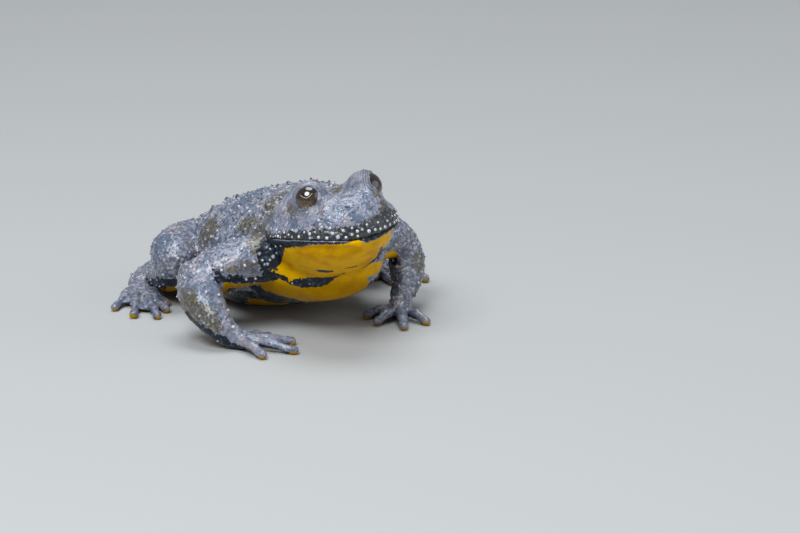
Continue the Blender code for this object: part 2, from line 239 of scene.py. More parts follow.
def digits(base, tips, shape):
    # rows of places for each digit, starting a little out from the palm or sole
    radius = shape["digitRadius"]
    rise, middle, fall, last = digitShape["bends"]
    rows = []
    for x, y in tips:
        away = (Vector((x, y, 0)) - base).normalized()
        start = base + shape["digitStart"] * away
        tip = Vector((x, y, radius * digitShape["tipHeight"]))
        knuckle = start.lerp(tip, middle) + Vector((0, 0, shape["knuckleLift"]))
        places = (start, start.lerp(knuckle, rise), knuckle, knuckle.lerp(tip, fall), start.lerp(tip, last),
                  tip)
        rows.append(tuple((*place, radius * share) for place, share in zip(places, digitShape["swell"])))
    return rows


def fingerRows(side):
    return digits(Vector(armShape[side]["palm"][1][:3]), armShape[side]["tips"], armShape)


def mirrored(rows, side):
    return tuple((row[0] * sides[side], *row[1:]) for row in rows)


def toeRows(side):
    base = Vector(mirrored(legShape["tarsus"], side)[-1][:3])
    return digits(base, mirrored(legShape["tips"], side), legShape)


def addWeb(shell, one, other, steps=14, count=24):
    # skin between two toes, hollowed along its free edge
    rings = []
    first, last = legShape["webReach"]
    height, share = legShape["webHeight"]
    for step in range(steps + 1):
        t = first + (last - first) * step / steps
        ring = []
        for k in range(count):
            angle = 2 * math.pi * k / count
            across = (1 - math.cos(angle)) / 2
            back = t * (1 - legShape["webHollow"] * math.sin(math.pi * across))
            point = pathPoint(one, back)[0].lerp(pathPoint(other, back)[0], across)
            point.z = share * point.z + height + legShape["webThickness"] / 2 * math.sin(angle)
            ring.append(point)
        rings.append(ring)
    addLoft(shell, rings)


def jawHalfWidth(y, length, halfWidth):
    if y >= 0:
        return halfWidth * (1 - 0.012 * y * y)  # narrows a little into the neck
    power = headShape["outlinePower"]
    return halfWidth * (1 - min(1.0, -y / length) ** power) ** (1 / power)


def stationRun(first, last, count, crowd=0.55):
    # places from first to last that crowd together towards the snout
    return [first + (last - first) * (1 - (1 - k / count) ** (1 / crowd)) for k in range(count + 1)]


def headHalf(rear, length, halfWidth, section):
    # rings of the skull or the jaw; section gives its rise and drop at y
    rings = []
    for y in stationRun(rear, -(length - 0.03), headShape["slices"]):
        rise, drop, powers = section(y)
        ring = ringSection(jawHalfWidth(y, length, halfWidth), rise, drop, 56, *powers)
        rings.append([p + Vector((0, y, 0)) for p in ring])
    return rings


def crownSection(y):
    return float(eased(headShape["crown"], y)[0]), headShape["crownTuck"], headShape["crownPowers"]


def throatSection(y):
    return headShape["throatTuck"], float(eased(headShape["throat"], y)[0]), headShape["throatPowers"]


def buildHead(shell):
    place, length, halfWidth = headPlace(), headShape["length"], headShape["halfWidth"]
    addLoft(shell, headHalf(headShape["crownRear"], length, halfWidth, crownSection), place)
    for side in (-1, 1):
        setback = eyeShape["lidSetback"] * lookVector(side, eyeShape["mound"])
        addBall(shell, eyeCentre(side) - setback, eyeShape["lidRadius"], place)
        for x, y, z, radius in (headShape["cheek"], headShape["brow"]):
            addBall(shell, (side * x, y, z), radius, place)
    length -= headShape["chinSetback"]
    halfWidth -= headShape["jawInset"]
    addLoft(shell, headHalf(headShape["throatRear"], length, halfWidth, throatSection), place)


def buildTrunk(shell):
    rows, slices = trunkShape["rows"], trunkShape["slices"]
    first, last = rows[0][0], rows[-1][0]
    rings = []
    for k in range(slices + 1):
        y = first + (last - first) * k / slices
        height, halfWidth, rise, drop, lean = eased(rows, y)
        share = (first - y) / (first - last)
        turn = Euler((-math.radians(lean), math.radians(trunkShape["roll"]) * share**1.5, 0)).to_matrix()
        at = Vector((0, y, height))
        rings.append([at + turn @ p for p in ringSection(halfWidth, rise, drop, 60, *trunkShape["powers"])])
    addLoft(shell, rings)


def buildLimbs(shell):
    for side in sides:
        arm = armShape[side]
        for rows in (arm["upper"], arm["fore"], arm["palm"], *fingerRows(side)):
            addTube(shell, rows)
        toes = toeRows(side)
        for rows in (legShape["thigh"], legShape["shank"], legShape["tarsus"]):
            addTube(shell, mirrored(rows, side))
        for rows in toes:
            addTube(shell, rows)
        for one, other in zip(toes, toes[1:]):
            addWeb(shell, one, other)


# Moving points about

def readPoints(mesh):
    points = np.empty(len(mesh.vertices) * 3)
    mesh.vertices.foreach_get("co", points)
    return points.reshape(-1, 3)


def readEdges(mesh):
    edges = np.empty(len(mesh.edges) * 2, np.int64)
    mesh.edges.foreach_get("vertices", edges)
    return edges.reshape(-1, 2)


def normalsFor(mesh, points):
    mesh.vertices.foreach_set("co", points.ravel())
    mesh.update()
    normals = np.empty(len(mesh.vertices) * 3)
    mesh.vertex_normals.foreach_get("vector", normals)
    return normals.reshape(-1, 3)


def neighbourMean(points, edges):
    count = len(points)
    shape = points if points.ndim == 2 else points[:, None]
    degree = np.bincount(edges.ravel(), minlength=count)
    total = np.empty(shape.shape)
    for axis in range(shape.shape[1]):
        total[:, axis] = (np.bincount(edges[:, 0], shape[edges[:, 1], axis], count)
                          + np.bincount(edges[:, 1], shape[edges[:, 0], axis], count))
    mean = total / np.maximum(degree, 1)[:, None]
    return mean if points.ndim == 2 else mean[:, 0]


def distanceToRows(points, rows, samples=28):
    # signed distance in mm to a round limb
    best = np.full(len(points), 1e9)
    for k in range(samples):
        centre, radius = pathPoint(rows, k / (samples - 1))
        best = np.minimum(best, np.linalg.norm(points - np.array(centre), axis=1) - radius)
    return best


# Skin: one closed mesh over every node of flesh

skinShape = {
    "voxel": 0.12,
    "creaseRounds": 60,
    "creaseSlide": 0.35,                # share of each pull along the skin and out of it
    "creaseFill": 0.6,
    "fillAtDigits": 0.12,               # creases between fingers and toes stay
    "relaxRounds": 4,
    "relaxSteps": (0.5, 0.52),          # in, then back out
    "browRounds": 150,
    "faceRear": -2.0,                   # in the head's frame: where the finer mesh of the face ends
    "faceLow": -0.7,
    "faceRounds": 6,
    "lumpSize": 3.2,
    "lumpHeight": 0.16,
    "knobSize": 1.15,
    "knobHeight": 0.19,
    "wrinklePlace": ((0.4, -8.4, 4.6), (3.4, 2.6, 1.8)),    # on the forehead: middle and half sizes
    "wrinkleSize": 0.70,
    "wrinkleHeight": 0.16,
    "grainSize": 0.50,
    "grainHeight": 0.12,
    "fineGrainSize": 0.30,
    "fineGrainHeight": 0.05,
}


def baseSkin():
    shell = {"points": [], "faces": []}
    buildHead(shell)
    buildTrunk(shell)
    buildLimbs(shell)
    rough = bpy.data.meshes.new("rough")
    rough.from_pydata(shell["points"], [], shell["faces"])
    helper = bpy.data.objects.new("rough", rough)
    bpy.context.collection.objects.link(helper)
    remesh = helper.modifiers.new("merge", "REMESH")
    remesh.mode = "VOXEL"
    remesh.voxel_size = skinShape["voxel"]
    graph = bpy.context.evaluated_depsgraph_get()
    mesh = bpy.data.meshes.new_from_object(helper.evaluated_get(graph))
    bpy.data.objects.remove(helper)
    bpy.data.meshes.remove(rough)
    return mesh


def refineFace(mesh, points):
    # the face carries finer detail than the rest, so its faces are cut in four
    mesh.vertices.foreach_set("co", points.ravel())
    inHead = toHead(points)
    onFace = (inHead[:, 1] < skinShape["faceRear"]) & (inHead[:, 2] > skinShape["faceLow"])
    fine = bmesh.new()
    fine.from_mesh(mesh)
    chosen = [edge for edge in fine.edges if onFace[edge.verts[0].index] and onFace[edge.verts[1].index]]
    bmesh.ops.subdivide_edges(fine, edges=chosen, cuts=1, use_grid_fill=True)
    fine.to_mesh(mesh)
    fine.free()
    points, edges = readPoints(mesh), readEdges(mesh)
    inHead = toHead(points)
    weight = 0.5 * smoothstep(0.0, -0.5, inHead[:, 1] - skinShape["faceRear"])
    weight *= inHead[:, 2] > skinShape["faceLow"]
    return softenPatch(points, edges, weight, skinShape["faceRounds"]), edges


def fillCreases(mesh, points, edges, weight):
    # concave joins between body and limbs fill out, and what is convex keeps its size
    for count in range(skinShape["creaseRounds"]):
        if count % 4 == 0:
            normals = normalsFor(mesh, points)
        pull = neighbourMean(points, edges) - points
        rise = (pull * normals).sum(axis=1)
        slide = pull - rise[:, None] * normals
        fill = skinShape["creaseFill"] * weight * np.clip(rise, 0, None)
        points = points + skinShape["creaseSlide"] * slide + normals * fill[:, None]
    return points


def softenPatch(points, edges, weight, rounds):
    # evens out what stands proud as well as what is sunk, only where weight is above 0
    local = edges[(weight[edges] > 0).any(axis=1)]
    members, short = np.unique(local, return_inverse=True)
    short = short.reshape(-1, 2)
    patch, share = points[members], weight[members][:, None]
    for _ in range(rounds):
        patch = patch + share * (neighbourMean(patch, short) - patch)
    points = points.copy()
    points[members] = patch
    return points


def relax(points, edges, rounds):
    # takes the steps of the voxels out and hardly shrinks anything
    inward, outward = skinShape["relaxSteps"]
    for _ in range(rounds):
        points = points + inward * (neighbourMean(points, edges) - points)
        points = points - outward * (neighbourMean(points, edges) - points)
    return points


def lumps(points, size, seed=0.0):
    # smooth noise from about -1 to 1, with hills about size mm apart
    shift = Vector((seed, seed * 1.7, seed * 0.3))
    return np.array([noise.noise(Vector(p) / size + shift) for p in points])


def grains(points, size):
    # rounded grains packed side by side, 0 in the gaps and 1 on top
    return np.array([1 - min(1.0, 1.5 * noise.voronoi(Vector(p) / size)[0][0]) for p in points])


def blob(points, centre, radii):
    # signed mm inside an egg-shaped patch
    scaled = (points - np.array(centre)) / np.array(radii)
    return (1 - np.linalg.norm(scaled, axis=1)) * min(radii)


def hill(points, centre, width):
    # 1 at the centre of an egg-shaped place, falling off round it
    return np.exp(-np.sum(((points - np.array(centre)) / np.array(width)) ** 2, axis=1))


def ridge(points, start, end, width):
    # 1 along a line between two points, falling off beside it
    start, end = np.array(start), np.array(end)
    run = end - start
    t = np.clip((points - start) @ run / (run @ run), 0, 1)
    gap = np.linalg.norm(points - start - t[:, None] * run, axis=1)
    return np.exp(-((gap / width) ** 2))


mouth = {
    # turn in degrees round the snout, negative on the toad's right, then height in the head's frame
    "line": (
        (-114, -0.20), (-89, 0.13), (-64, 0.15), (-52, 0.17), (-36, 0.05), (-27, -0.07), (-16, -0.32),
        (-8, -0.55), (3, -0.62), (18, -0.46), (30, -0.28), (48, -0.10), (64, 0.12), (89, 0.13), (114, -0.20),
    ),
    "lipTop": (
        (-114, 1.0), (-88, 0.95), (-63, 1.2), (-45, 1.25), (-26, 1.3), (-11, 1.2), (3, 1.2), (16, 1.75),
        (30, 2.1), (49, 1.5), (90, 1.0), (114, 1.0),
    ),
    # and how far the dark band hangs under the mouth
    "jawBand": (
        (-114, 1.8), (-90, 1.5), (-76, 1.15), (-49, 0.85), (-28, 0.48), (-16, 0.42), (-9, 0.36), (-5, 0.1),
        (0, 0.08), (4, 0.5), (12, 0.62), (22, 0.62), (32, 0.35), (40, 0.5), (60, 0.8), (90, 1.2), (114, 1.8),
    ),
    "furthest": 114.0,
    "corner": (90.0, 104.0),            # turn where the slit fades and has faded
    # slit, upper lip, lower lip and the groove under it: height, width, how far it stands out
    "folds": ((0.0, 0.12, -0.26), (0.6, 0.55, 0.16), (-0.38, 0.24, 0.08), (-0.95, 0.35, -0.10)),
    "bandReach": 8.7,                   # no dark band further out than this, where the arms begin
}

faceForms = {
    # alike on both sides: how far a ridge stands out, its two ends, its width
    "ridges": (
        (0.26, (2.4, -8.6, 5.6), (1.45, -11.6, 4.2), 0.62),     # from the brow to the snout
        (0.16, (6.2, -3.6, 3.2), (7.4, 0.4, 1.4), 0.7),         # cheek
        (-0.16, (6.0, -2.6, 4.3), (7.7, 1.6, 2.6), 0.45),       # groove over it
    ),
    # depth, middle and half sizes
    "besideSnout": (0.22, (5.0, -9.6, 2.9), (1.7, 1.5, 1.0)),
    "crown": (0.45, (0, -5.0, 4.6), (1.1, 3.0, 2.0)),
}

nostril = {
    "places": ((-0.45, -12.0, 3.25), (2.5, -11.5, 3.3)),
    "stretch": (0.7, 0.6, 1.35),        # a slit, wider than it is high
    "radius": 0.16,
    "depth": 0.36,
    "rim": 0.07,
    "rimWidth": 0.14,
    "pitStretch": (0.62, 0.6, 1.5),     # the painted shade inside
    "pitRadius": 0.12,
}


def turnRound(inHead):
    turn = np.degrees(np.arctan2(inHead[:, 0], -(inHead[:, 1] + 3)))
    return np.clip(turn, -mouth["furthest"], mouth["furthest"])


def headRelief(inHead):
    # how far the skin stands out over the plain head, in mm
    turn = turnRound(inHead)
    above = inHead[:, 2] - eased(mouth["line"], turn)[:, 0]
    ahead = 1 - smoothstep(*mouth["corner"], np.abs(turn))
    relief = np.zeros(len(inHead))
    for height, width, out in mouth["folds"]:
        relief += out * np.exp(-(((above - height) / width) ** 2)) * ahead
    depth, middle, size = faceForms["besideSnout"]
    for side in sides:
        for out, start, end, width in faceForms["ridges"]:
            relief += out * ridge(inHead, *mirrored((start, end), side), width)
        relief -= depth * hill(inHead, *mirrored((middle,), side), size)
    for place in nostril["places"]:
        gap = np.linalg.norm((inHead - np.array(place)) * nostril["stretch"], axis=1)
        relief += nostril["rim"] * np.exp(-(((gap - nostril["radius"] * 1.6) / nostril["rimWidth"]) ** 2))
        relief -= nostril["depth"] * np.exp(-((gap / nostril["radius"]) ** 2))
    depth, middle, size = faceForms["crown"]
    relief -= depth * hill(inHead, middle, size)
    return relief * (1 - smoothstep(0.5, 3.0, inHead[:, 1]))


# Distances in mm, and degrees counted out from the lids' edge
lidShape = {
    "opening": 55.0,                    # half angle of the gap between the lids
    "hood": 5.0,                        # how much less it is on the upper inner side
    "hoodWay": (-0.8, -0.25, 0.6),      # where that side is, on the toad's left
    "rimAt": 3.5,
    "rimWidth": 3.2,
    "rimHeight": 0.09,
    "foldHeight": 0.12,                 # of the fine folds round the lids
    "foldPitch": 8.0,
    "foldZone": (-1.0, 1.0, 24.0, 42.0),        # where the folds rise and fade
    "foldReach": (2.6, 3.3),            # and how far from the middle of the ball
    "hugZone": (-2.0, 24.0),            # the skin hugs the ball at the edge and leaves it further out
    "hugGap": 0.08,
    "leastGap": 0.06,
    "sinkZone": (-0.16, 0.02),          # the skin under the ball drops out of sight
    "sinkDepth": 0.4,
    "reach": 3.4,                       # from the middle of the ball, where the lids run out
}

browShape = {
    "clearance": 0.16,                  # room left between the view of the ball and the brow
    "lean": 0.12,
    "softness": 0.22,
    "heights": (0.15, 0.9, 5.0, 8.0),   # over the lids' edge, where the brow gives way and where no more
    "fromBall": (2.25, 2.8),
}


def lidFrame(name):
    # which way the gap between the lids faces, and the upper inner side of it
    side = sides[name]
    axis = np.array(lookVector(side, eyeShape["lids"][name]))
    hoodWay = np.array(lidShape["hoodWay"]) * (side, 1, 1)
    hoodWay -= hoodWay @ axis * axis
    return np.array(eyeCentre(side)), axis, hoodWay / np.linalg.norm(hoodWay)


def fromAxis(away, axis, hoodWay):
    # height along the axis, distance from it, direction away from it, half angle of the lids' gap
    height = away @ axis
    across = away - height[:, None] * axis
    reach = np.maximum(np.linalg.norm(across, axis=1), 1e-6)
    outward = across / reach[:, None]
    edge = lidShape["opening"] - lidShape["hood"] * (outward @ hoodWay)
    return height, reach, outward, edge


def clearBrow(inHead):
    # the brow gives way sideways, so that it doesn't stand before the ball
    radius, soft = eyeShape["radius"], browShape["softness"]
    rise, full, fade, end = browShape["heights"]
    for name in sides:
        centre, axis, hoodWay = lidFrame(name)
        away = inHead - centre
        height, reach, outward, edge = fromAxis(away, axis, hoodWay)
        rim = radius * np.cos(np.radians(edge))
        wanted = radius * np.sin(np.radians(edge)) + browShape["clearance"]
        wanted += browShape["lean"] * np.clip(height - rim, 0, None)
        pushed = wanted + soft * np.logaddexp(0, (reach - wanted) / soft)
        share = smoothstep(rise, full, height - rim) * (1 - smoothstep(fade, end, height))
        share *= smoothstep(*browShape["fromBall"], np.linalg.norm(away, axis=1))
        inHead = inHead + outward * (share * (pushed - reach))[:, None]
    return inHead


def shapeLids(inHead):
    # puts the skin behind each ball and folds it round it; returns the points and the shade of the folds
    radius = eyeShape["radius"]
    shade = np.zeros(len(inHead))
    for name in sides:
        centre, axis, hoodWay = lidFrame(name)
        far = np.linalg.norm(inHead - centre, axis=1)
        near = np.flatnonzero(far < lidShape["reach"])
        far, away = far[near], inHead[near] - centre
        height, reach, outward, edge = fromAxis(away, axis, hoodWay)
        past = np.degrees(np.arctan2(reach, height)) - edge
        inside = reach - radius * np.sin(np.radians(edge))
        sunk = (1 - smoothstep(*lidShape["sinkZone"], inside)) * (height > 0)
        hug = (1 - smoothstep(*lidShape["hugZone"], past)) * (1 - smoothstep(2.7, lidShape["reach"], far))
        fresh = far - hug * np.clip(far - radius - lidShape["hugGap"], 0, None)
        fresh = fresh * (1 - sunk) + (radius - lidShape["sinkDepth"]) * sunk
        fresh = np.where(sunk < 0.01, np.maximum(fresh, radius + lidShape["leastGap"]), fresh)
        beyond = past - lidShape["rimAt"]
        fresh += lidShape["rimHeight"] * np.exp(-((beyond / lidShape["rimWidth"]) ** 2)) * (1 - sunk)
        rise, full, fade, end = lidShape["foldZone"]
        folded = smoothstep(rise, full, past) * (1 - smoothstep(fade, end, past))
        folded *= 1 - smoothstep(*lidShape["foldReach"], far)
        folded *= 0.25 + 0.75 * smoothstep(-0.3, 0.6, outward @ hoodWay)
        wave = 0.5 + 0.5 * np.cos(2 * np.pi * beyond / lidShape["foldPitch"])
        fresh += lidShape["foldHeight"] * wave * folded
        inHead[near] += away * (fresh / far - 1)[:, None]
        shade[near] = np.maximum(shade[near], folded * (1 - wave) ** 3)
    return inHead, shade


def digitGaps(points, side):
    # distance in mm to the nearest finger and the nearest toe
    return [np.min([distanceToRows(points, rows, 14) for rows in group], axis=0)
            for group in (fingerRows(side), toeRows(side))]


def partGaps(points):
    # distance in mm to each limb's own shape, so that places on the skin can be told apart
    gaps = {}
    for side in sides:
        arm = armShape[side]
        gaps["upperArm", side] = distanceToRows(points, arm["upper"])
        gaps["foreArm", side] = distanceToRows(points, arm["fore"])
        gaps["palm", side] = distanceToRows(points, arm["palm"])
        gaps["fingers", side], gaps["toes", side] = digitGaps(points, side)
        for part in ("thigh", "shank", "tarsus"):
            gaps[part, side] = distanceToRows(points, mirrored(legShape[part], side))
    return gaps


def nearest(gaps, *parts):
    return np.min([gaps[part, side] for part in parts for side in sides], axis=0)


wartShape = {
    "back": {"spacing": (0.70, 1.50), "radius": (0.32, 0.78), "height": (0.16, 0.50)},
    "limbs": {"spacing": (0.80, 1.70), "radius": (0.26, 0.50), "height": (0.10, 0.26)},
    "head": {"spacing": (0.55, 1.35), "radius": (0.14, 0.28), "height": (0.03, 0.11)},
    "paleShare": {"back": 0.5, "limbs": 0.85, "head": 0.6},
    "point": 0.35,                      # share of a wart's height that is a point
    "tip": (0.5, 0.9),                  # how far up a wart its coloured tip starts and is full
    "tipFrom": 0.16,                    # height in mm from which a wart's tip has its full colour
    "fixedSpacing": 1.2,
    "fixedRadius": 0.36,
    "fixedHeight": 0.17,
    # white dots that show best, partly pale wart tips and partly painted highlight: x, y, z, radius of the
    # bead
    "fixed": (
        (-13.57, -10.57, 9.23, 0.27), (-13.56, -10.75, 8.66, 0.20), (-14.88, -10.80, 7.76, 0.16),
        (-14.78, -10.28, 8.42, 0.17), (-16.32, -12.52, 6.68, 0.18), (-16.64, -9.72, 8.32, 0.19),
        (-16.59, -11.19, 7.70, 0.19), (-14.78, -12.54, 6.24, 0.19), (-15.08, -13.48, 5.54, 0.20),
        (-13.89, -13.22, 4.36, 0.24), (-14.08, -15.20, 2.86, 0.22), (-13.20, -15.93, 1.80, 0.21),
        (-16.38, -14.59, 3.69, 0.16), (-17.21, -13.92, 3.44, 0.15), (-17.51, -13.34, 4.12, 0.16),
        (-18.04, -11.35, 6.50, 0.14), (-17.55, -8.90, 7.78, 0.17), (-14.84, -14.65, 4.05, 0.16),
        (-10.96, -11.62, 9.19, 0.18), (-9.81, -11.77, 9.54, 0.18), (-11.01, -10.68, 10.92, 0.19),
        (-10.34, -10.63, 11.18, 0.17), (-11.02, -8.51, 11.73, 0.17), (-11.51, -9.89, 11.22, 0.19),
        (-12.81, -10.12, 10.45, 0.20), (-10.04, -8.83, 11.88, 0.16), (-9.08, -11.58, 10.39, 0.19),
        (-9.59, -11.41, 7.39, 0.19), (-10.80, -11.43, 7.54, 0.17), (-8.61, -11.98, 9.19, 0.15),
        (-8.03, -11.46, 11.00, 0.17), (-7.60, -11.78, 10.92, 0.15), (-7.67, -13.68, 11.72, 0.14),
        (-7.83, -15.40, 12.30, 0.13), (-8.97, -11.56, 10.44, 0.18), (-7.43, -12.05, 9.99, 0.26),
        (-8.28, -12.01, 9.15, 0.22), (-7.36, -13.12, 10.78, 0.16), (-8.79, -11.89, 9.72, 0.17),
        (-7.87, -12.00, 9.64, 0.16),
    ),
    "tries": 120000,
    "seed": 11,
    # no warts nearer than this to digits, eyes and floor, nor on the lips, under the body or on smooth hide
    "bare": {"digits": 0.25, "eyes": 0.45, "floor": 0.35, "lips": (0.4, 1.1), "under": -0.35, "smooth": 0.3},
}


def between(pair, share):
    low, high = pair
    return low + (high - low) * share


def scatterWarts(points, kinds, rng):
    # kinds says for each point which sort of wart grows there: 0 for none
    names = ("back", "limbs", "head")
    cell = max(wartShape[name]["spacing"][1] for name in names)
    taken = {}
    warts = []

    def keyOf(place):
        return tuple(np.floor(place / cell).astype(int))

    for x, y, z, size in wartShape["fixed"]:
        index = np.argmin(np.sum((points - (x, y, z)) ** 2, axis=1))
        place = points[index]
        taken.setdefault(keyOf(place), []).append((*place, wartShape["fixedSpacing"]))
        warts.append({"index": int(index), "pale": True, "radius": wartShape["fixedRadius"],
                      "height": wartShape["fixedHeight"], "bead": size})
    for index in rng.permutation(len(points))[:wartShape["tries"]]:
        roll, pick = rng.random(2)
        if kinds[index] == 0:
            continue
        sort = wartShape[names[kinds[index] - 1]]
        spacing = between(sort["spacing"], pick)
        place = points[index]
        key = keyOf(place)
        around = [wart for dx in (-1, 0, 1) for dy in (-1, 0, 1) for dz in (-1, 0, 1)
                  for wart in taken.get((key[0] + dx, key[1] + dy, key[2] + dz), ())]
        if any((place[0] - w[0]) ** 2 + (place[1] - w[1]) ** 2 + (place[2] - w[2]) ** 2
               < (0.5 * (spacing + w[3])) ** 2 for w in around):
            continue
        taken.setdefault(key, []).append((*place, spacing))
        size = pick ** 1.5
        warts.append({
            "index": int(index),
            "pale": rng.random() < wartShape["paleShare"][names[kinds[index] - 1]],
            "radius": between(sort["radius"], size),
            "height": between(sort["height"], size) * (0.7 + 0.6 * roll),
            "bead": 0.0,
        })
    return warts


def raiseWarts(points, warts):
    tree = KDTree(len(points))
    for k, p in enumerate(points):
        tree.insert(p, k)
    tree.balance()
    rise, paleTip, darkTip = np.zeros((3, len(points)))
    point = wartShape["point"]
    for wart in warts:
        found = tree.find_range(points[wart["index"]], wart["radius"])
        hits = np.array([hit[1] for hit in found])
        t = 1 - np.array([hit[2] for hit in found]) / wart["radius"]
        shape = t * t * (3 - 2 * t) * (1 - point) + point * t**4
        rise[hits] = np.maximum(rise[hits], wart["height"] * shape)
        tip = paleTip if wart["pale"] else darkTip
        strength = min(1.0, wart["height"] / wartShape["tipFrom"])
        tip[hits] = np.maximum(tip[hits], smoothstep(*wartShape["tip"], t) * strength)
    return rise, paleTip, darkTip


def toHead(points):
    return (points - headOrigin) @ headTurn


def eyeDistance(inHead):
    return np.min([np.linalg.norm(inHead - np.array(eyeCentre(side)), axis=1) for side in (-1, 1)], axis=0)


# The skin is grown from the body plan, then worked like clay
skinMesh = baseSkin()
points = readPoints(skinMesh)
edges = readEdges(skinMesh)
print("base skin", len(points), "points")

place = headPlace()
headTurn, headOrigin = np.array(place.to_3x3()), np.array(place.translation)
digitGap = np.min([gap for side in sides for gap in digitGaps(points, side)], axis=0)
filled = between((skinShape["fillAtDigits"], 1.0), smoothstep(0.3, 1.6, digitGap))
points = fillCreases(skinMesh, points, edges, filled)
points = relax(points, edges, skinShape["relaxRounds"])
print("creases filled")

inHead = toHead(points)
brow = smoothstep(1.2, 2.4, inHead[:, 2]) * (1 - smoothstep(-1.5, 1.0, inHead[:, 1]))
brow *= smoothstep(2.0, 2.7, eyeDistance(inHead))
points = softenPatch(points, edges, 0.7 * brow, skinShape["browRounds"])
points, edges = refineFace(skinMesh, points)
gaps = partGaps(points)
digitGap = nearest(gaps, "fingers", "toes")
print("face refined", len(points), "points")

normals = normalsFor(skinMesh, points)
points += normals * headRelief(toHead(points))[:, None]
inHead, lidShade = shapeLids(clearBrow(toHead(points)))
points = inHead @ headTurn.T + headOrigin
print("face shaped")

mouthTurn = turnRound(inHead)
aboveMouth = inHead[:, 2] - eased(mouth["line"], mouthTurn)[:, 0]
onHead = 1 - smoothstep(0.0, 2.5, inHead[:, 1])
lowerLimbs = ("foreArm", "palm", "fingers", "thigh", "shank", "tarsus", "toes")
limbGap = nearest(gaps, *lowerLimbs)
offLimbs = smoothstep(0.2, 0.9, nearest(gaps, "upperArm", *lowerLimbs))
eyeGap = eyeDistance(inHead) - eyeShape["radius"]


# Markings are kept as signed distances in mm, above 0 inside the marking

throatYellow = {
    # height in the head's frame, then how far back the yellow goes
    "right": ((0.0, -6.4), (-0.8, -4.95), (-1.9, -3.3), (-3.0, -0.9), (-4.1, -0.1), (-5.0, 0.3),
              (-8.0, 1.0)),
    "left": ((0.0, -10.4), (-1.0, -9.15), (-3.6, -7.4), (-5.45, -4.75), (-6.5, -2.5), (-8.0, -1.0)),
    "top": 1.6,
}

breastBand = {
    # across the body, then the height of the yellow's upper and lower edges
    "upper": ((-14.0, 7.3), (-10.0, 6.65), (-7.7, 6.75), (-6.6, 7.0), (-5.0, 8.2), (-3.0, 9.4), (2.0, 9.6),
              (3.6, 9.1), (5.2, 8.6), (8.0, 8.2), (9.6, 8.2), (10.7, 7.7)),
    "lower": ((-14.0, 6.3), (-12.5, 6.2), (-9.0, 5.6), (-6.25, 4.65), (-4.1, 4.35), (-1.8, 5.3), (1.3, 6.2),
              (4.5, 7.2), (6.5, 6.9), (8.6, 6.6), (10.8, 6.4)),
    "rearEdge": (-8.6, -4.6),           # on the toad's right and left
    "leftEnd": 10.8,
    "sliver": ((-13.1, -10.1, 5.2), (0.7, 1.3, 1.7)),   # inside of the right elbow: middle and half sizes
}

bellyMarble = {
    "clouds": ((1.0, 3.1, 4.0), (0.35, 1.2, 9.0)),      # share, size in mm, seed
    "contrast": 2.2,
    "yellowShare": 0.55,
    "underBand": 1.5,                   # how far it starts under the breast band
    "height": 3.0,                      # and over the floor further back
    "facing": (-0.35, -0.45),           # how far down the skin has to face, and how much more on limbs
}

tipYellow = {"radius": 0.60, "height": 0.1, "most": 0.3}    # fingers and toes end in yellow
limbMargin = {"throat": 0.4, "breast": 0.3, "belly": 0.4}   # mm kept off the limbs

# Dark marks on or beside the yellow, and painted shade along the throat's left edge, as soft tubes: x, y, z,
# radius
darkStrokes = {
    "throatSpot": ((-4.1, -18.3, 9.36, 0.36), (-3.6, -18.6, 9.37, 0.44), (-3.1, -19.0, 9.4, 0.30)),
    "foldBlotch": ((-6.0, -13.1, 6.95, 0.24), (-4.9, -14.3, 6.95, 0.60), (-4.0, -15.1, 7.2, 0.70),
                   (-2.9, -15.7, 7.3, 0.72), (-2.0, -16.3, 7.6, 0.58), (-1.6, -17.4, 8.3, 0.26),
                   (-1.0, -18.5, 8.85, 0.16)),
    "foldStreak": ((-1.6, -20.1, 9.9, 0.15), (-1.0, -20.3, 10.0, 0.18), (-0.4, -20.3, 10.05, 0.15)),
    # painted shade on the throat's left edge
    "jawShade": ((2.2, -22.1, 12.4, 0.30), (2.9, -20.4, 11.0, 0.62), (2.9, -19.1, 9.9, 0.60),
                (1.4, -18.7, 9.4, 0.22)),
    "wedge": ((-8.0, -11.6, 7.7, 0.50), (-6.9, -12.1, 7.55, 0.40), (-6.0, -13.2, 7.4, 0.18)),
    "armHem": ((-14.0, -10.9, 7.7, 0.50), (-11.8, -11.4, 7.3, 0.66), (-9.5, -11.3, 7.0, 0.62),
               (-7.4, -11.2, 7.1, 0.55)),
    "elbowLine": ((-15.2, -9.0, 9.5, 0.12), (-14.4, -10.2, 8.8, 0.22), (-13.7, -10.8, 8.0, 0.3)),
    "leftArmHem": ((5.8, -9.0, 6.9, 0.6), (9.0, -7.6, 6.6, 0.7), (11.0, -6.4, 6.2, 0.7)),
    # painted shade between the throat and the left arm
    "leftShade": ((4.6, -17.6, 12.2, 0.9), (4.9, -15.6, 10.2, 1.0), (4.4, -14.2, 8.9, 0.5)),
}

strokesInYellow = ("throatSpot", "foldBlotch", "foldStreak", "wedge", "jawShade")
rimReach = 0.45                         # mm that the dark goes on under the torn rim of the yellow
darkUnderside = {"heights": (6.4, 4.2), "split": -7.0, "facing": -0.25}     # before and behind the split
headEnd = 4.0                           # mm taken off a marking behind the head, so that it ends there

darkPatches = {
    # centre and half sizes in the head's frame
    "mouthCornerRight": ((-7.7, -1.7, -2.3), (1.7, 3.2, 3.0)),
    "mouthCornerLeft": ((7.2, -3.6, -2.4), (2.4, 4.0, 2.6)),
}

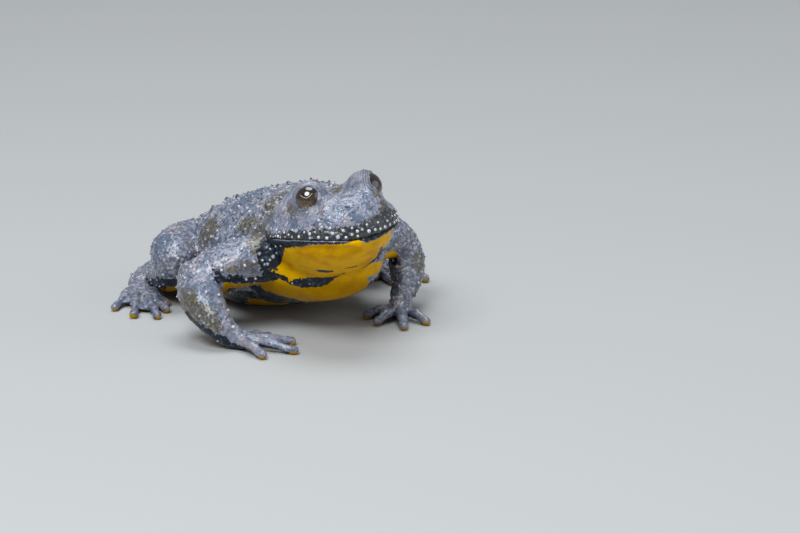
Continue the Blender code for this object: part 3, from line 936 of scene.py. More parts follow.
# Brown and blue patches: centre and half sizes in mm of the toad
oliveBlobs = (
    ((-6.8, -16.9, 16.4), (0.7, 0.8, 0.7)),         # under the eye
    ((-7.0, -15.9, 17.0), (0.5, 0.6, 0.8)),
    ((-4.1, -7.1, 16.1), (1.3, 1.6, 1.0)),          # behind it
    ((-5.9, -7.4, 14.9), (1.2, 1.8, 1.2)),
    ((-7.4, -10.2, 14.2), (1.2, 2.1, 1.7)),         # behind the jaw
    ((-7.7, -8.9, 12.6), (1.3, 1.9, 1.9)),
    ((-8.9, -10.6, 11.2), (1.3, 1.7, 1.9)),
    ((-8.0, -5.7, 12.6), (1.2, 2.0, 1.5)),
    ((0.2, -13.9, 17.9), (1.0, 1.8, 1.0)),          # between the lids
    ((1.7, -21.6, 19.1), (0.8, 0.8, 0.8)),
    ((2.7, -22.6, 16.9), (1.6, 1.8, 1.6)),          # left of the snout
    ((0.6, -24.0, 16.5), (0.9, 0.8, 1.2)),
    ((-11.3, -11.5, 9.0), (2.5, 1.0, 0.8)),         # along the upper arm
    ((-18.3, -11.6, 5.3), (1.5, 2.5, 2.3)),         # outside of the forearm
    ((-16.9, -13.7, 4.3), (1.5, 1.5, 1.7)),
    ((-16.2, -14.5, 3.2), (1.3, 1.2, 1.3)),
    ((-9.7, 3.0, 10.0), (1.7, 2.8, 2.1)),           # flank
    ((-6.0, 10.0, 10.4), (1.8, 2.2, 1.6)),
    ((13.6, -7.4, 5.2), (1.4, 2.0, 2.6)),
    ((8.6, -3.0, 12.0), (1.8, 3.0, 1.9)),
    ((9.6, 4.4, 9.8), (1.8, 3.0, 2.0)),
    ((4.4, 9.6, 11.2), (1.8, 2.2, 1.6)),
    ((2.0, -4.6, 16.0), (1.5, 2.4, 1.2)),
)

blueBlobs = (
    ((-1.8, -24.0, 16.8), (0.85, 0.8, 0.75)),       # over the lip
    ((-5.1, -22.7, 16.5), (0.95, 0.95, 0.55)),
    ((-7.4, -18.2, 15.5), (0.7, 1.1, 0.6)),
    ((-3.7, -22.6, 18.0), (1.1, 0.8, 0.6)),
    ((0.0, -23.4, 17.7), (0.55, 0.6, 0.7)),
    ((-5.7, -21.5, 17.5), (0.7, 0.7, 0.5)),
    ((-2.1, -21.1, 18.9), (1.0, 0.7, 0.5)),
    ((-16.7, -12.3, 6.6), (1.5, 1.6, 1.9)),         # forearm
    ((-15.9, -13.8, 5.0), (0.9, 1.0, 1.2)),
    ((-3.0, 4.0, 14.6), (2.2, 2.6, 1.2)),           # back
    ((-6.6, 0.2, 14.0), (1.8, 2.2, 1.6)),
    ((4.4, 2.4, 14.6), (2.2, 2.6, 1.6)),
    ((-14.6, 5.6, 8.2), (1.6, 2.0, 1.4)),           # thighs
    ((13.4, 6.4, 8.2), (1.6, 2.2, 1.4)),
)


def strokeField(points, rows):
    return -distanceToRows(points, rows, 22)


def yellowField(points, inHead, normals):
    band = eased(mouth["jawBand"], mouthTurn)[:, 0]
    rear = [eased(throatYellow[side], np.clip(inHead[:, 2], -8, 0))[:, 0] for side in ("right", "left")]
    mix = smoothstep(-1.5, 1.5, inHead[:, 0])
    throat = np.minimum(-band - aboveMouth, rear[0] * (1 - mix) + rear[1] * mix - inHead[:, 1])
    throat = np.minimum(throat, throatYellow["top"] - inHead[:, 2])
    throat = np.minimum(throat, limbGap - limbMargin["throat"])
    upper = eased(breastBand["upper"], np.clip(points[:, 0], -14, 10.7))[:, 0]
    lower = eased(breastBand["lower"], np.clip(points[:, 0], -14, 10.8))[:, 0]
    mix = smoothstep(-3, 4, points[:, 0])
    behind = between(breastBand["rearEdge"], mix)
    breast = np.minimum(np.minimum(upper - points[:, 2], points[:, 2] - lower), behind - points[:, 1])
    breast = np.minimum(breast, breastBand["leftEnd"] - points[:, 0])
    breast = np.minimum(breast, limbGap - limbMargin["breast"])
    marble = sum(share * lumps(points, size, seed) for share, size, seed in bellyMarble["clouds"])
    below = np.where(points[:, 1] < behind, lower - bellyMarble["underBand"], bellyMarble["height"])
    below = np.maximum(below - points[:, 2], limbMargin["belly"] - limbGap)
    least, more = bellyMarble["facing"]
    under = (least + more * smoothstep(0.6, 0.2, limbGap) - normals[:, 2]) * 2.5
    marble = bellyMarble["contrast"] * marble + bellyMarble["yellowShare"]
    belly = np.minimum(np.minimum(below, under), marble)
    yellow = np.maximum(np.maximum(throat, breast), belly)
    for side in sides:
        for x, y in (*armShape[side]["tips"], *mirrored(legShape["tips"], side)):
            reach = np.linalg.norm(points - np.array((x, y, tipYellow["height"])), axis=1)
            yellow = np.maximum(yellow, np.minimum(tipYellow["radius"] - reach, tipYellow["most"]))
    return np.maximum(yellow, blob(points, *breastBand["sliver"]))


def darkField(points, inHead, normals):
    band = eased(mouth["jawBand"], mouthTurn)[:, 0]
    dark = np.minimum(aboveMouth + band, 0.1 - aboveMouth) - (1 - onHead) * headEnd
    dark = np.minimum(dark, mouth["bandReach"] - np.abs(inHead[:, 0]))
    for centre, size in darkPatches.values():
        dark = np.maximum(dark, blob(inHead, centre, size))
    for name, rows in darkStrokes.items():
        dark = np.maximum(dark, strokeField(points, rows) + (rimReach if name in strokesInYellow else 0))
    low = np.where(points[:, 1] < darkUnderside["split"], *darkUnderside["heights"]) - points[:, 2]
    return np.maximum(dark, np.minimum(low * 0.8, (darkUnderside["facing"] - normals[:, 2]) * 2.5))


def lipField(inHead):
    top = eased(mouth["lipTop"], mouthTurn)[:, 0] - eased(mouth["line"], mouthTurn)[:, 0]
    lip = np.minimum(aboveMouth + 0.1, top - aboveMouth) - (1 - onHead) * headEnd
    return np.minimum(lip, mouth["bandReach"] - np.abs(inHead[:, 0]))


def addLayer(mesh, name, values):
    layer = mesh.attributes.new(name, "FLOAT", "POINT")
    layer.data.foreach_set("value", np.ascontiguousarray(values, np.float32))


normals = normalsFor(skinMesh, points)
smoothNormals = normals
for _ in range(12):
    smoothNormals = neighbourMean(smoothNormals, edges)
yellow = yellowField(points, inHead, smoothNormals)
for name in strokesInYellow:
    yellow = np.minimum(yellow, -strokeField(points, darkStrokes[name]))
dark = darkField(points, inHead, smoothNormals)
olive = np.max([blob(points, centre, size) for centre, size in oliveBlobs], axis=0)
blue = np.max([blob(points, centre, size) for centre, size in blueBlobs], axis=0)
print("markings laid out")

# Relief: broad lumps, warts, then fine grains. The throat and belly stay almost smooth.
smoothHide = smoothstep(-0.6, 0.5, yellow)
lidZone = 1 - smoothstep(0.35, 1.2, eyeGap)
relief = skinShape["lumpHeight"] * lumps(points, skinShape["lumpSize"])
relief += skinShape["knobHeight"] * lumps(points, skinShape["knobSize"], 3.0) * (1 - 0.8 * smoothHide)
relief *= (1 - 0.5 * onHead) * (1 - lidZone)
wrinkled = hill(inHead, *skinShape["wrinklePlace"]) * (1 - lidZone)
near = np.flatnonzero(wrinkled > 0.001)
wrinkles = np.abs(lumps(inHead[near] * (0.32, 1.5, 1.5), skinShape["wrinkleSize"], 6.0))
relief[near] += skinShape["wrinkleHeight"] * wrinkled[near] * (1 - 3.2 * wrinkles)
# painted shade along the forehead's wrinkles, kept with the shade of the lids' folds
lines = smoothstep(0.12, 0.02, wrinkles) * smoothstep(-0.1, 0.2, lumps(inHead[near], 1.3, 2.0))
lidShade[near] = np.maximum(lidShade[near], lines * np.clip(2.2 * wrinkled[near], 0, 1))
points += normals * relief[:, None]
normals = normalsFor(skinMesh, points)


def wartKinds():
    # which sort of wart may grow at each point: 0 for none, 1 back, 2 limbs, 3 head
    bare = wartShape["bare"]
    kinds = np.where(onHead > 0.5, 3, np.where(offLimbs > 0.5, 1, 2))
    kinds[(smoothHide > bare["smooth"]) | (digitGap < bare["digits"]) | (eyeGap < bare["eyes"])] = 0
    kinds[points[:, 2] < bare["floor"]] = 0
    lipMiddle, lipReach = bare["lips"]
    kinds[(onHead > 0.5) & (np.abs(aboveMouth - lipMiddle) < lipReach)] = 0
    kinds[(kinds == 1) & (smoothNormals[:, 2] < bare["under"])] = 0
    return kinds


rng = np.random.default_rng(wartShape["seed"])
warts = scatterWarts(points, wartKinds(), rng)
wartRise, paleTip, darkTip = raiseWarts(points, warts)
granules = skinShape["grainHeight"] * grains(points, skinShape["grainSize"])
granules += skinShape["fineGrainHeight"] * grains(points, skinShape["fineGrainSize"])
granules *= (1 - 0.85 * smoothHide) * (1 - 0.2 * onHead) * (1 - 0.8 * lidZone)
granules *= smoothstep(-0.35, 0.15, digitGap) * (0.55 + 0.45 * offLimbs)
relief = wartRise + granules
points += normals * relief[:, None]
points[:, 2] = np.maximum(points[:, 2], 0.0)
cavity = np.clip((relief - neighbourMean(neighbourMean(relief, edges), edges)) / 0.02, -1, 1)
print("warts raised", len(warts))

pits = [np.linalg.norm((inHead - np.array(middle)) * nostril["pitStretch"], axis=1)
        for middle in nostril["places"]]
lowThroat = 0.15 * smoothstep(-2.4, -4.6, inHead[:, 2])
layers = {
    "yellow": yellow,
    "dark": dark,
    "lip": lipField(inHead),
    "olive": olive,
    "blue": blue,
    "lidShade": lidShade,
    "paleTip": paleTip,
    "darkTip": darkTip,
    "cavity": cavity,
    "granule": granules / skinShape["grainHeight"],
    "mouthHeight": np.where(onHead > 0.3, aboveMouth, 9.0),
    "mouthTurn": mouthTurn,
    "calm": onHead * (1 - smoothstep(-0.6, 1.2, olive)),            # less speckle here
    "lowShade": np.maximum(smoothstep(8.2, 6.0, points[:, 2]), lowThroat),      # painted shade: darker yellow low on the breast and throat
    "pit": np.exp(-((np.min(pits, axis=0) / nostril["pitRadius"]) ** 2)),
}
for name, values in layers.items():
    addLayer(skinMesh, name, values)
normals = normalsFor(skinMesh, points)

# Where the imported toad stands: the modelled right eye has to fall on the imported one
eyeLow, eyeHigh = (Vector(corner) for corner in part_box("eye_right"))
home = (eyeLow + eyeHigh) / 2 / mm - headPlace() @ eyeCentre(-1)
home.z = 0  # both stand on the same floor
toWorld = Matrix.Scale(mm, 4) @ Matrix.Translation(home)

skinMesh.transform(toWorld)
skinMesh.name = "skin"
skin = bpy.data.objects.new("skin", skinMesh)
bpy.context.collection.objects.link(skin)
skinMesh.shade_smooth()

limbParts = ("upper_arm", "forearm", "hand", "thigh", "shank", "foot")
flesh = ["head", "lower_jaw", "trunk"] + [f"{part}_{side}" for part in limbParts for side in sides]
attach(skin, "root")
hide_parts(*flesh)


# Materials. Sizes of noise are given in mm and the nodes work in metres.

def startMaterial(name):
    material = bpy.data.materials.new(name)
    material.use_nodes = True
    tree = material.node_tree
    shader = tree.nodes["Principled BSDF"]

    def node(kind, inputs=None, **settings):
        made = tree.nodes.new(kind)
        for key, value in settings.items():
            setattr(made, key, value)
        for key, value in (inputs or {}).items():
            if isinstance(value, bpy.types.NodeSocket):
                tree.links.new(value, made.inputs[key])
            else:
                made.inputs[key].default_value = value
        return made

    return material, shader, node


def skinPatterns(node):
    # small helpers that share one set of coordinates
    spot = node("ShaderNodeTexCoord").outputs["Object"]

    def cloud(size, detail=2.0, seed=0.0):
        shifted = node("ShaderNodeVectorMath", {0: spot, 1: (seed * mm, seed * mm, 0)}, operation="ADD")
        inputs = {"Vector": shifted.outputs[0], "Scale": 1 / (size * mm), "Detail": detail}
        return node("ShaderNodeTexNoise", inputs).outputs["Fac"]

    def maths(operation, a, b=0.0, c=0.0):
        return node("ShaderNodeMath", {0: a, 1: b, 2: c}, operation=operation).outputs[0]

    def step(value, low, high):
        inputs = {"Value": value, "From Min": low, "From Max": high}
        return node("ShaderNodeMapRange", inputs, interpolation_type="SMOOTHSTEP").outputs["Result"]

    def mix(share, a, b):
        inputs = {0: share}
        for key, colour in ((6, a), (7, b)):
            inputs[key] = colour if isinstance(colour, bpy.types.NodeSocket) else (*colour, 1)
        return node("ShaderNodeMix", inputs, data_type="RGBA").outputs[2]

    def patches(row):
        # strength, size in mm, detail, seed, and where in the cloud a patch starts and is full
        strength, size, detail, seed, low, high = row
        return maths("MULTIPLY", step(cloud(size, detail, seed), low, high), strength)

    return spot, cloud, maths, step, mix, patches


hide = {
    "lilac": (0.245, 0.254, 0.335),
    "rose": (0.335, 0.300, 0.335),
    "pale": (0.44, 0.46, 0.54),
    "slate": (0.088, 0.128, 0.205),
    "brown": (0.078, 0.062, 0.034),
    "moss": (0.185, 0.160, 0.060),
    "umber": (0.030, 0.026, 0.020),
    # painted shade for the gaps between grains
    "gap": (0.062, 0.070, 0.090),
    "blueBlack": (0.007, 0.012, 0.020),
    "lipBrown": (0.052, 0.049, 0.038),
    "steel": (0.042, 0.076, 0.120),
    "yellow": (0.80, 0.425, 0.001),
    "amber": (0.60, 0.265, 0.0005),
    "lemon": (0.80, 0.50, 0.006),
    "shadedYellow": (0.34, 0.165, 0.0005),    # painted shade of the yellow, low on the breast
    "tip": (0.014, 0.013, 0.012),
    "pearl": (0.62, 0.62, 0.66),
    "yellowTint": (1.0, 0.62, 0.10),    # of the shine on the yellow
    "wet": (0.26, 0.52),                # least and most roughness
    "coat": 0.48,
    "coatRoughness": 0.10,
}

# Strength, size in mm, detail, seed, and where in the cloud a patch starts and is full
hidePatches = {
    "rose": (1.0, 2.0, 4.0, 0.0, 0.46, 0.58),
    "slate": (0.85, 1.7, 5.0, 3.0, 0.53, 0.60),
    "smallSlate": (0.7, 0.62, 4.0, 4.0, 0.55, 0.62),
    "pale": (0.7, 0.8, 4.0, 5.0, 0.56, 0.66),
    "slateSpeckle": (0.6, 0.24, 4.0, 7.0, 0.44, 0.36),
    "paleSpeckle": (0.6, 0.28, 4.0, 8.0, 0.60, 0.69),
    "looseBrown": (0.75, 0.6, 4.0, 13.0, 0.61, 0.67),
    "brown": (1.0, 0.35, 3.0, 21.0, 0.34, 0.52),
    "moss": (1.0, 0.5, 3.0, 33.0, 0.57, 0.64),
    "steel": (1.0, 0.8, 4.0, 61.0, 0.50, 0.64),
    "lipBrown": (1.0, 0.5, 4.0, 57.0, 0.45, 0.60),
    "lipGrey": (0.8, 0.4, 3.0, 59.0, 0.62, 0.68),
    "amber": (1.0, 2.2, 4.0, 81.0, 0.40, 0.70),
    "lemon": (0.8, 0.35, 2.0, 91.0, 0.60, 0.78),
}

# Torn rims of the markings: size and reach of the tears, seed, and where the marking starts and is full
tornRims = {
    "blue": (0.7, 1.6, 17.0, -0.05, 0.22),
    "olive": (0.8, 2.4, 9.0, -0.10, 0.40),
    "dark": (0.55, 1.5, 51.0, -0.04, 0.06),
    "lip": (0.5, 1.5, 55.0, -0.05, 0.16),
    "yellow": (0.6, 0.9, 71.0, -0.03, 0.05),
}

hideGrain = {
    "dots": (0.95, 0.2, 41.0, 0.29, 0.22),      # pitch, size and seed of their wobble, rim
    "grit": 0.30,                               # size of the finest grain, in mm
    "gritCloud": 0.22,
    "bumpHeight": 0.12,
    "bump": 0.8,
}


def paintSkin():
    material, shader, node = startMaterial("skin_wet")
    spot, cloud, maths, step, mix, patches = skinPatterns(node)
    link = material.node_tree.links.new

    def layer(name):
        return node("ShaderNodeAttribute", attribute_name=name).outputs["Fac"]

    def part(share, value):
        return maths("MULTIPLY", value, share)

    def marking(name):
        size, reach, seed, low, high = tornRims[name]
        tear = part(reach, maths("SUBTRACT", cloud(size, 5.0, seed), 0.5))
        return step(maths("ADD", layer(name), tear), low, high)

    # grey ground: lilac and rose, with slate clouds in two sizes
    busy = maths("SUBTRACT", 1.0, part(0.5, layer("calm")))
    colour = mix(patches(hidePatches["rose"]), hide["lilac"], hide["rose"])
    colour = mix(patches(hidePatches["slate"]), colour, hide["slate"])
    colour = mix(part(busy, patches(hidePatches["smallSlate"])), colour, hide["slate"])
    colour = mix(patches(hidePatches["pale"]), colour, hide["pale"])
    colour = mix(part(0.9, marking("blue")), colour, hide["slate"])
    # painted shade in the gaps between grains, and fine speckle breaks up every tone
    colour = mix(part(busy, part(0.75, step(layer("granule"), 0.32, 0.02))), colour, hide["gap"])
    colour = mix(part(busy, patches(hidePatches["slateSpeckle"])), colour, hide["slate"])
    colour = mix(part(busy, patches(hidePatches["paleSpeckle"])), colour, hide["pale"])
    # brown patches with torn rims, some moss in them, and loose brown flecks
    inBrown = marking("olive")
    brown = part(0.95, maths("MULTIPLY", inBrown, patches(hidePatches["brown"])))
    colour = mix(maths("MAXIMUM", brown, patches(hidePatches["looseBrown"])), colour, hide["brown"])
    colour = mix(maths("MULTIPLY", inBrown, patches(hidePatches["moss"])), colour, hide["moss"])
    # small dark dots
    pitch, wobble, seed, rim, full = hideGrain["dots"]
    dots = node("ShaderNodeTexVoronoi", {"Vector": spot, "Scale": 1 / (pitch * mm)}).outputs["Distance"]
    dots = maths("ADD", dots, part(0.25, cloud(wobble, 2.0, seed)))
    colour = mix(part(0.85, step(dots, rim, full)), colour, hide["umber"])
    colour = mix(layer("darkTip"), colour, hide["tip"])
    # blue-black marks with ragged rims, and painted shade at the throat's left edge
    inDark = marking("dark")
    steely = maths("MULTIPLY", patches(hidePatches["steel"]), step(layer("dark"), 0.25, 0.6))
    colour = mix(inDark, colour, mix(steely, hide["blueBlack"], hide["steel"]))
    # the upper lip is a dark brown, broken by grey
    lipTone = mix(patches(hidePatches["lipBrown"]), hide["blueBlack"], hide["lipBrown"])
    lipTone = mix(patches(hidePatches["lipGrey"]), lipTone, hide["lilac"])
    colour = mix(marking("lip"), colour, lipTone)
    # pale wart tips, partly their own colour and partly painted highlight
    colour = mix(part(0.8, layer("paleTip")), colour, hide["pearl"])
    # yellow of the throat, breast and belly
    inYellow = marking("yellow")
    golden = mix(patches(hidePatches["amber"]), hide["yellow"], hide["amber"])
    golden = mix(patches(hidePatches["lemon"]), golden, hide["lemon"])
    # painted shade: the yellow turns darker and more orange low on the breast and throat
    golden = mix(part(0.75, layer("lowShade")), golden, hide["shadedYellow"])
    colour = mix(inYellow, colour, golden)
    # painted shade: the slit, the inside of the nostrils and the folds are dark
    inSlit = step(maths("ABSOLUTE", layer("mouthHeight")), 0.10, 0.03)
    inSlit = maths("MULTIPLY", inSlit, step(maths("ABSOLUTE", layer("mouthTurn")), 108.0, 96.0))
    colour = mix(maths("MAXIMUM", inSlit, layer("pit")), colour, hide["blueBlack"])
    colour = mix(part(0.75, layer("lidShade")), colour, hide["umber"])
    # painted highlight: a thin pale line on the wet edge of the lower lip, on the right and at the front
    lipHighlight = step(maths("ABSOLUTE", maths("ADD", layer("mouthHeight"), 0.11)), 0.065, 0.03)
    lipHighlight = maths("MULTIPLY", lipHighlight, step(layer("mouthTurn"), -5.0, -9.0))
    lipHighlight = maths("MULTIPLY", lipHighlight, step(layer("mouthTurn"), -98.0, -88.0))
    colour = mix(part(0.6, lipHighlight), colour, hide["pale"])
    # crevices hold shade
    colour = mix(part(0.5, step(layer("cavity"), -0.1, -1.0)), colour, hide["umber"])
    link(colour, shader.inputs["Base Color"])

    low, high = hide["wet"]
    wetness = cloud(0.8, 3.0, 101.0)
    inputs = {"Value": wetness, "From Min": 0.3, "From Max": 0.7, "To Min": low, "To Max": high}
    link(node("ShaderNodeMapRange", inputs).outputs["Result"], shader.inputs["Roughness"])
    link(mix(inYellow, (1.0, 1.0, 1.0), hide["yellowTint"]), shader.inputs["Specular Tint"])
    bare = maths("MAXIMUM", inYellow, part(0.65, inDark))       # less shine on the yellow and the dark
    link(part(hide["coat"], maths("SUBTRACT", 1.0, bare)), shader.inputs["Coat Weight"])
    link(maths("SUBTRACT", 0.5, part(0.4, bare)), shader.inputs["Specular IOR Level"])
    shader.inputs["Coat Roughness"].default_value = hide["coatRoughness"]

    # fine grain of the hide, much finer on the yellow
    inputs = {"Vector": spot, "Scale": 1 / (hideGrain["grit"] * mm)}
    grit = node("ShaderNodeTexVoronoi", inputs, feature="SMOOTH_F1").outputs["Distance"]
    height = maths("ADD", part(-0.5, grit), part(0.7, cloud(hideGrain["gritCloud"], 3.0)))
    height = maths("MULTIPLY", height, maths("SUBTRACT", 1.0, part(0.6, inYellow)))
    inputs = {"Height": height, "Strength": hideGrain["bump"], "Distance": hideGrain["bumpHeight"] * mm}
    link(node("ShaderNodeBump", inputs).outputs["Normal"], shader.inputs["Normal"])
    return material


skinMesh.materials.clear()
skinMesh.materials.append(paintSkin())
print("skin painted")


# Beads: the pearls of the upper lip, pale wart caps, partly their own pale colour and partly painted
# highlight, and the dark spines of the back

beads = {
    # pearls of the front: turn round the snout, height over the slit, radius
    "pearls": (
        (-58.4, 0.63, 0.14), (-53.9, 1.17, 0.15), (-53.4, 0.40, 0.15), (-48.5, 0.99, 0.14),
        (-45.0, 0.43, 0.20), (-39.5, 0.96, 0.14), (-34.5, 0.80, 0.23), (-34.8, 0.36, 0.18),
        (-30.1, 0.98, 0.13), (-27.7, 0.43, 0.19), (-24.4, 1.58, 0.15), (-21.9, 0.34, 0.20),
        (-18.6, 1.46, 0.19), (-17.2, 0.89, 0.23), (-14.2, 0.48, 0.25), (-10.0, 1.25, 0.21),
        (-8.6, 0.44, 0.19), (-4.5, 0.74, 0.20), (-3.6, 1.42, 0.17), (-0.3, 0.98, 0.20), (-0.5, 0.42, 0.17),
        (3.6, 1.08, 0.17), (7.8, 1.46, 0.18), (8.0, 0.68, 0.25), (12.8, 0.60, 0.19), (17.0, 1.30, 0.16),
        (17.6, 0.50, 0.16), (22.2, 0.47, 0.22), (26.7, 0.95, 0.17), (28.8, 0.45, 0.19),
    ),
    # and further back: height over the slit, turn between pearls, radius
    "pearlRows": ((0.40, 6.6, 0.185), (1.05, 7.4, 0.15)),
    "pearlReach": ((-100.0, -62.0), (33.0, 100.0)),
    "pearlJitter": 0.14,
    "caps": {"radius": (0.11, 0.19), "sunk": 0.70, "stretch": 0.85, "least": 0.07},
    "spines": {"radius": (0.09, 0.14), "sunk": 0.82, "stretch": 1.2, "least": 0.22},
    "pearlStretch": 0.85,
    "pearlSunk": 0.46,
    "taper": 0.55,                      # of a spine's end
    "seed": 5,
}

beadLooks = {
    "coat": (0.6, 0.06),                # weight and roughness
    "shadePatches": (1.0, 0.9, 2.0, 0.0, 0.40, 0.62),
    "lip_pearls": {"colour": (0.66, 0.66, 0.66), "shade": (0.42, 0.43, 0.46), "roughness": 0.16},
    "wart_caps": {"colour": (0.56, 0.55, 0.56), "shade": (0.27, 0.28, 0.33), "roughness": 0.2},
    "back_spines": {"colour": (0.020, 0.018, 0.015), "shade": (0.055, 0.045, 0.03), "roughness": 0.25},
}


def unitBall():
    # corners and faces of one small ball, the same for every bead
    bead = bmesh.new()
    bmesh.ops.create_icosphere(bead, subdivisions=2, radius=1)
    corners = np.array([v.co[:] for v in bead.verts])
    faces = np.array([[v.index for v in face.verts] for face in bead.faces])
    bead.free()
    return corners, faces


def addBeads(name, places, normals, radii, stretch, sunk):
    corners, faces = unitBall()
    points, joined = [], []
    for k, (place, normal, radius) in enumerate(zip(places, normals, radii)):
        turn = np.array(Vector((0, 0, 1)).rotation_difference(Vector(normal)).to_matrix())
        shaped = corners * (1, 1, stretch)
        if stretch > 1:
            taper = 1 - beads["taper"] * np.clip(corners[:, 2], 0, 1)
            shaped[:, :2] *= taper[:, None]
        centre = place + normal * radius * stretch * (1 - 2 * sunk)
        points.append((shaped * radius) @ turn.T + centre)
        joined.append(faces + k * len(corners))
    points = np.concatenate(points)
    points[:, 2] = np.maximum(points[:, 2], 0.0)
    mesh = bpy.data.meshes.new(name)
    mesh.from_pydata(points.tolist(), [], np.concatenate(joined).tolist())
    mesh.transform(toWorld)
    mesh.shade_smooth()
    piece = bpy.data.objects.new(name, mesh)
    bpy.context.collection.objects.link(piece)
    mesh.materials.append(paintBeads(name))
    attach(piece, "root")


def paintBeads(name):
    looks = beadLooks[name]
    material, shader, node = startMaterial(name)
    mix, patches = skinPatterns(node)[-2:]
    colour = mix(patches(beadLooks["shadePatches"]), looks["shade"], looks["colour"])
    material.node_tree.links.new(colour, shader.inputs["Base Color"])
    shader.inputs["Roughness"].default_value = looks["roughness"]
    coat, coatRoughness = beadLooks["coat"]
    shader.inputs["Coat Weight"].default_value = coat
    shader.inputs["Coat Roughness"].default_value = coatRoughness
    return material


def lipPearls(points, normals, rng):
    near = np.flatnonzero((onHead > 0.5) & (np.abs(aboveMouth) < 2.2))
    angle, height = mouthTurn[near], aboveMouth[near]
    wanted = list(beads["pearls"])
    for level, pitch, size in beads["pearlRows"]:
        for first, last in beads["pearlReach"]:
            at = first + pitch * rng.random()
            while at < last:
                jitter = rng.normal(size=2) * beads["pearlJitter"]
                wanted.append((at + 7 * jitter[0], level + jitter[1], size * rng.uniform(0.55, 1.15)))
                at += pitch * rng.uniform(0.75, 1.3)
    found = []
    for at, level, size in wanted:
        perDegree = math.radians(7.6 + 5.0 * math.cos(math.radians(at)) ** 2)   # mm along the lip
        miss = ((angle - at) * perDegree) ** 2 + (height - level) ** 2
        found.append(near[np.argmin(miss)])
    radii = [size for at, level, size in wanted]
    addBeads("lip_pearls", points[found], normals[found], radii, beads["pearlStretch"], beads["pearlSunk"])


def wartBeads(points, normals, warts, rng):
    for name, pale, looks in (("wart_caps", True, beads["caps"]), ("back_spines", False, beads["spines"])):
        chosen = [wart for wart in warts if wart["pale"] == pale and wart["height"] > looks["least"]]
        index = np.array([wart["index"] for wart in chosen])
        radii = []
        for wart in chosen:
            plain = between(looks["radius"], min(1.0, wart["radius"] / 0.6))
            radii.append(wart["bead"] or plain * rng.uniform(0.6, 1.1))     # a fixed dot has its own size
        addBeads(name, points[index], normals[index], radii, looks["stretch"], looks["sunk"])


rng = np.random.default_rng(beads["seed"])
lipPearls(points, normals, rng)
wartBeads(points, normals, warts, rng)
print("beads set")


# Eyes

eyeLooks = {
    "rings": 56,
    "segments": 96,
    "pupil": (0.0, 0.06, 0.33),         # middle and size, in ball radii
    "pupilEdges": (90, 232, 308),       # which way its three edges face, degrees
    "pupilSharpness": 9.0,              # of its corners
    "pupilReach": 0.62,
    "pupilWobble": 0.05,
    "pupilRim": 0.014,
    "iris": (0.034, 0.021, 0.013),
    "fleck": (0.23, 0.12, 0.04),
    "gold": (0.70, 0.52, 0.26),
    "black": (0.003, 0.003, 0.004),
    # strength, size in mm, detail, seed, and where a patch starts and is full
    "irisPatches": (1.0, 0.13, 4.0, 3.0, 0.40, 0.60),
    "fleckPatches": (1.0, 0.10, 3.0, 9.0, 0.50, 0.62),
    "goldPatches": (1.0, 0.20, 3.0, 6.0, 0.46, 0.60),
    # heights on the ball where each starts and is full, in radii
    "flecksFrom": (0.30, -0.75),
    "goldFrom": (-0.52, -0.70),
    "rimFrom": (0.22, 0.05),
    "roughness": 0.12,
    "coatRoughness": 0.02,
}


def eyeMesh():
    # a ball whose pole is the pupil's middle, with a swollen cornea
    shell = {"points": [], "faces": []}
    rings = []
    angles = [2 * math.pi * n / eyeLooks["segments"] for n in range(eyeLooks["segments"])]
    for k in range(eyeLooks["rings"] + 1):
        polar = math.radians(0.6 + 179 * k / eyeLooks["rings"])
        far = eyeShape["radius"] + eyeShape["bulge"] * math.exp(-((polar / 0.75) ** 4))
        across, ahead = math.sin(polar), math.cos(polar)
        rings.append([far * mm * Vector((across * math.cos(a), across * math.sin(a), ahead)) for a in angles])
    addLoft(shell, rings)
    mesh = bpy.data.meshes.new("eyeball")
    mesh.from_pydata(shell["points"], [], shell["faces"])
    mesh.flip_normals()
    mesh.shade_smooth()
    return mesh


def pupilDistance(maths, across, up):
    # a rounded triangle that points down, from three edge distances that are blended at its corners
    middleX, middleY = eyeLooks["pupil"][:2]
    sharpness = eyeLooks["pupilSharpness"]
    powers = []
    for angle in eyeLooks["pupilEdges"]:
        dx, dy = math.cos(math.radians(angle)), math.sin(math.radians(angle))
        reach = maths("ADD", maths("MULTIPLY", maths("SUBTRACT", across, middleX), dx),
                      maths("MULTIPLY", maths("SUBTRACT", up, middleY), dy))
        powers.append(maths("POWER", 2.718, maths("MULTIPLY", reach, sharpness)))
    total = maths("ADD", maths("ADD", powers[0], powers[1]), powers[2])
    return maths("DIVIDE", maths("LOGARITHM", total, 2.718), sharpness)


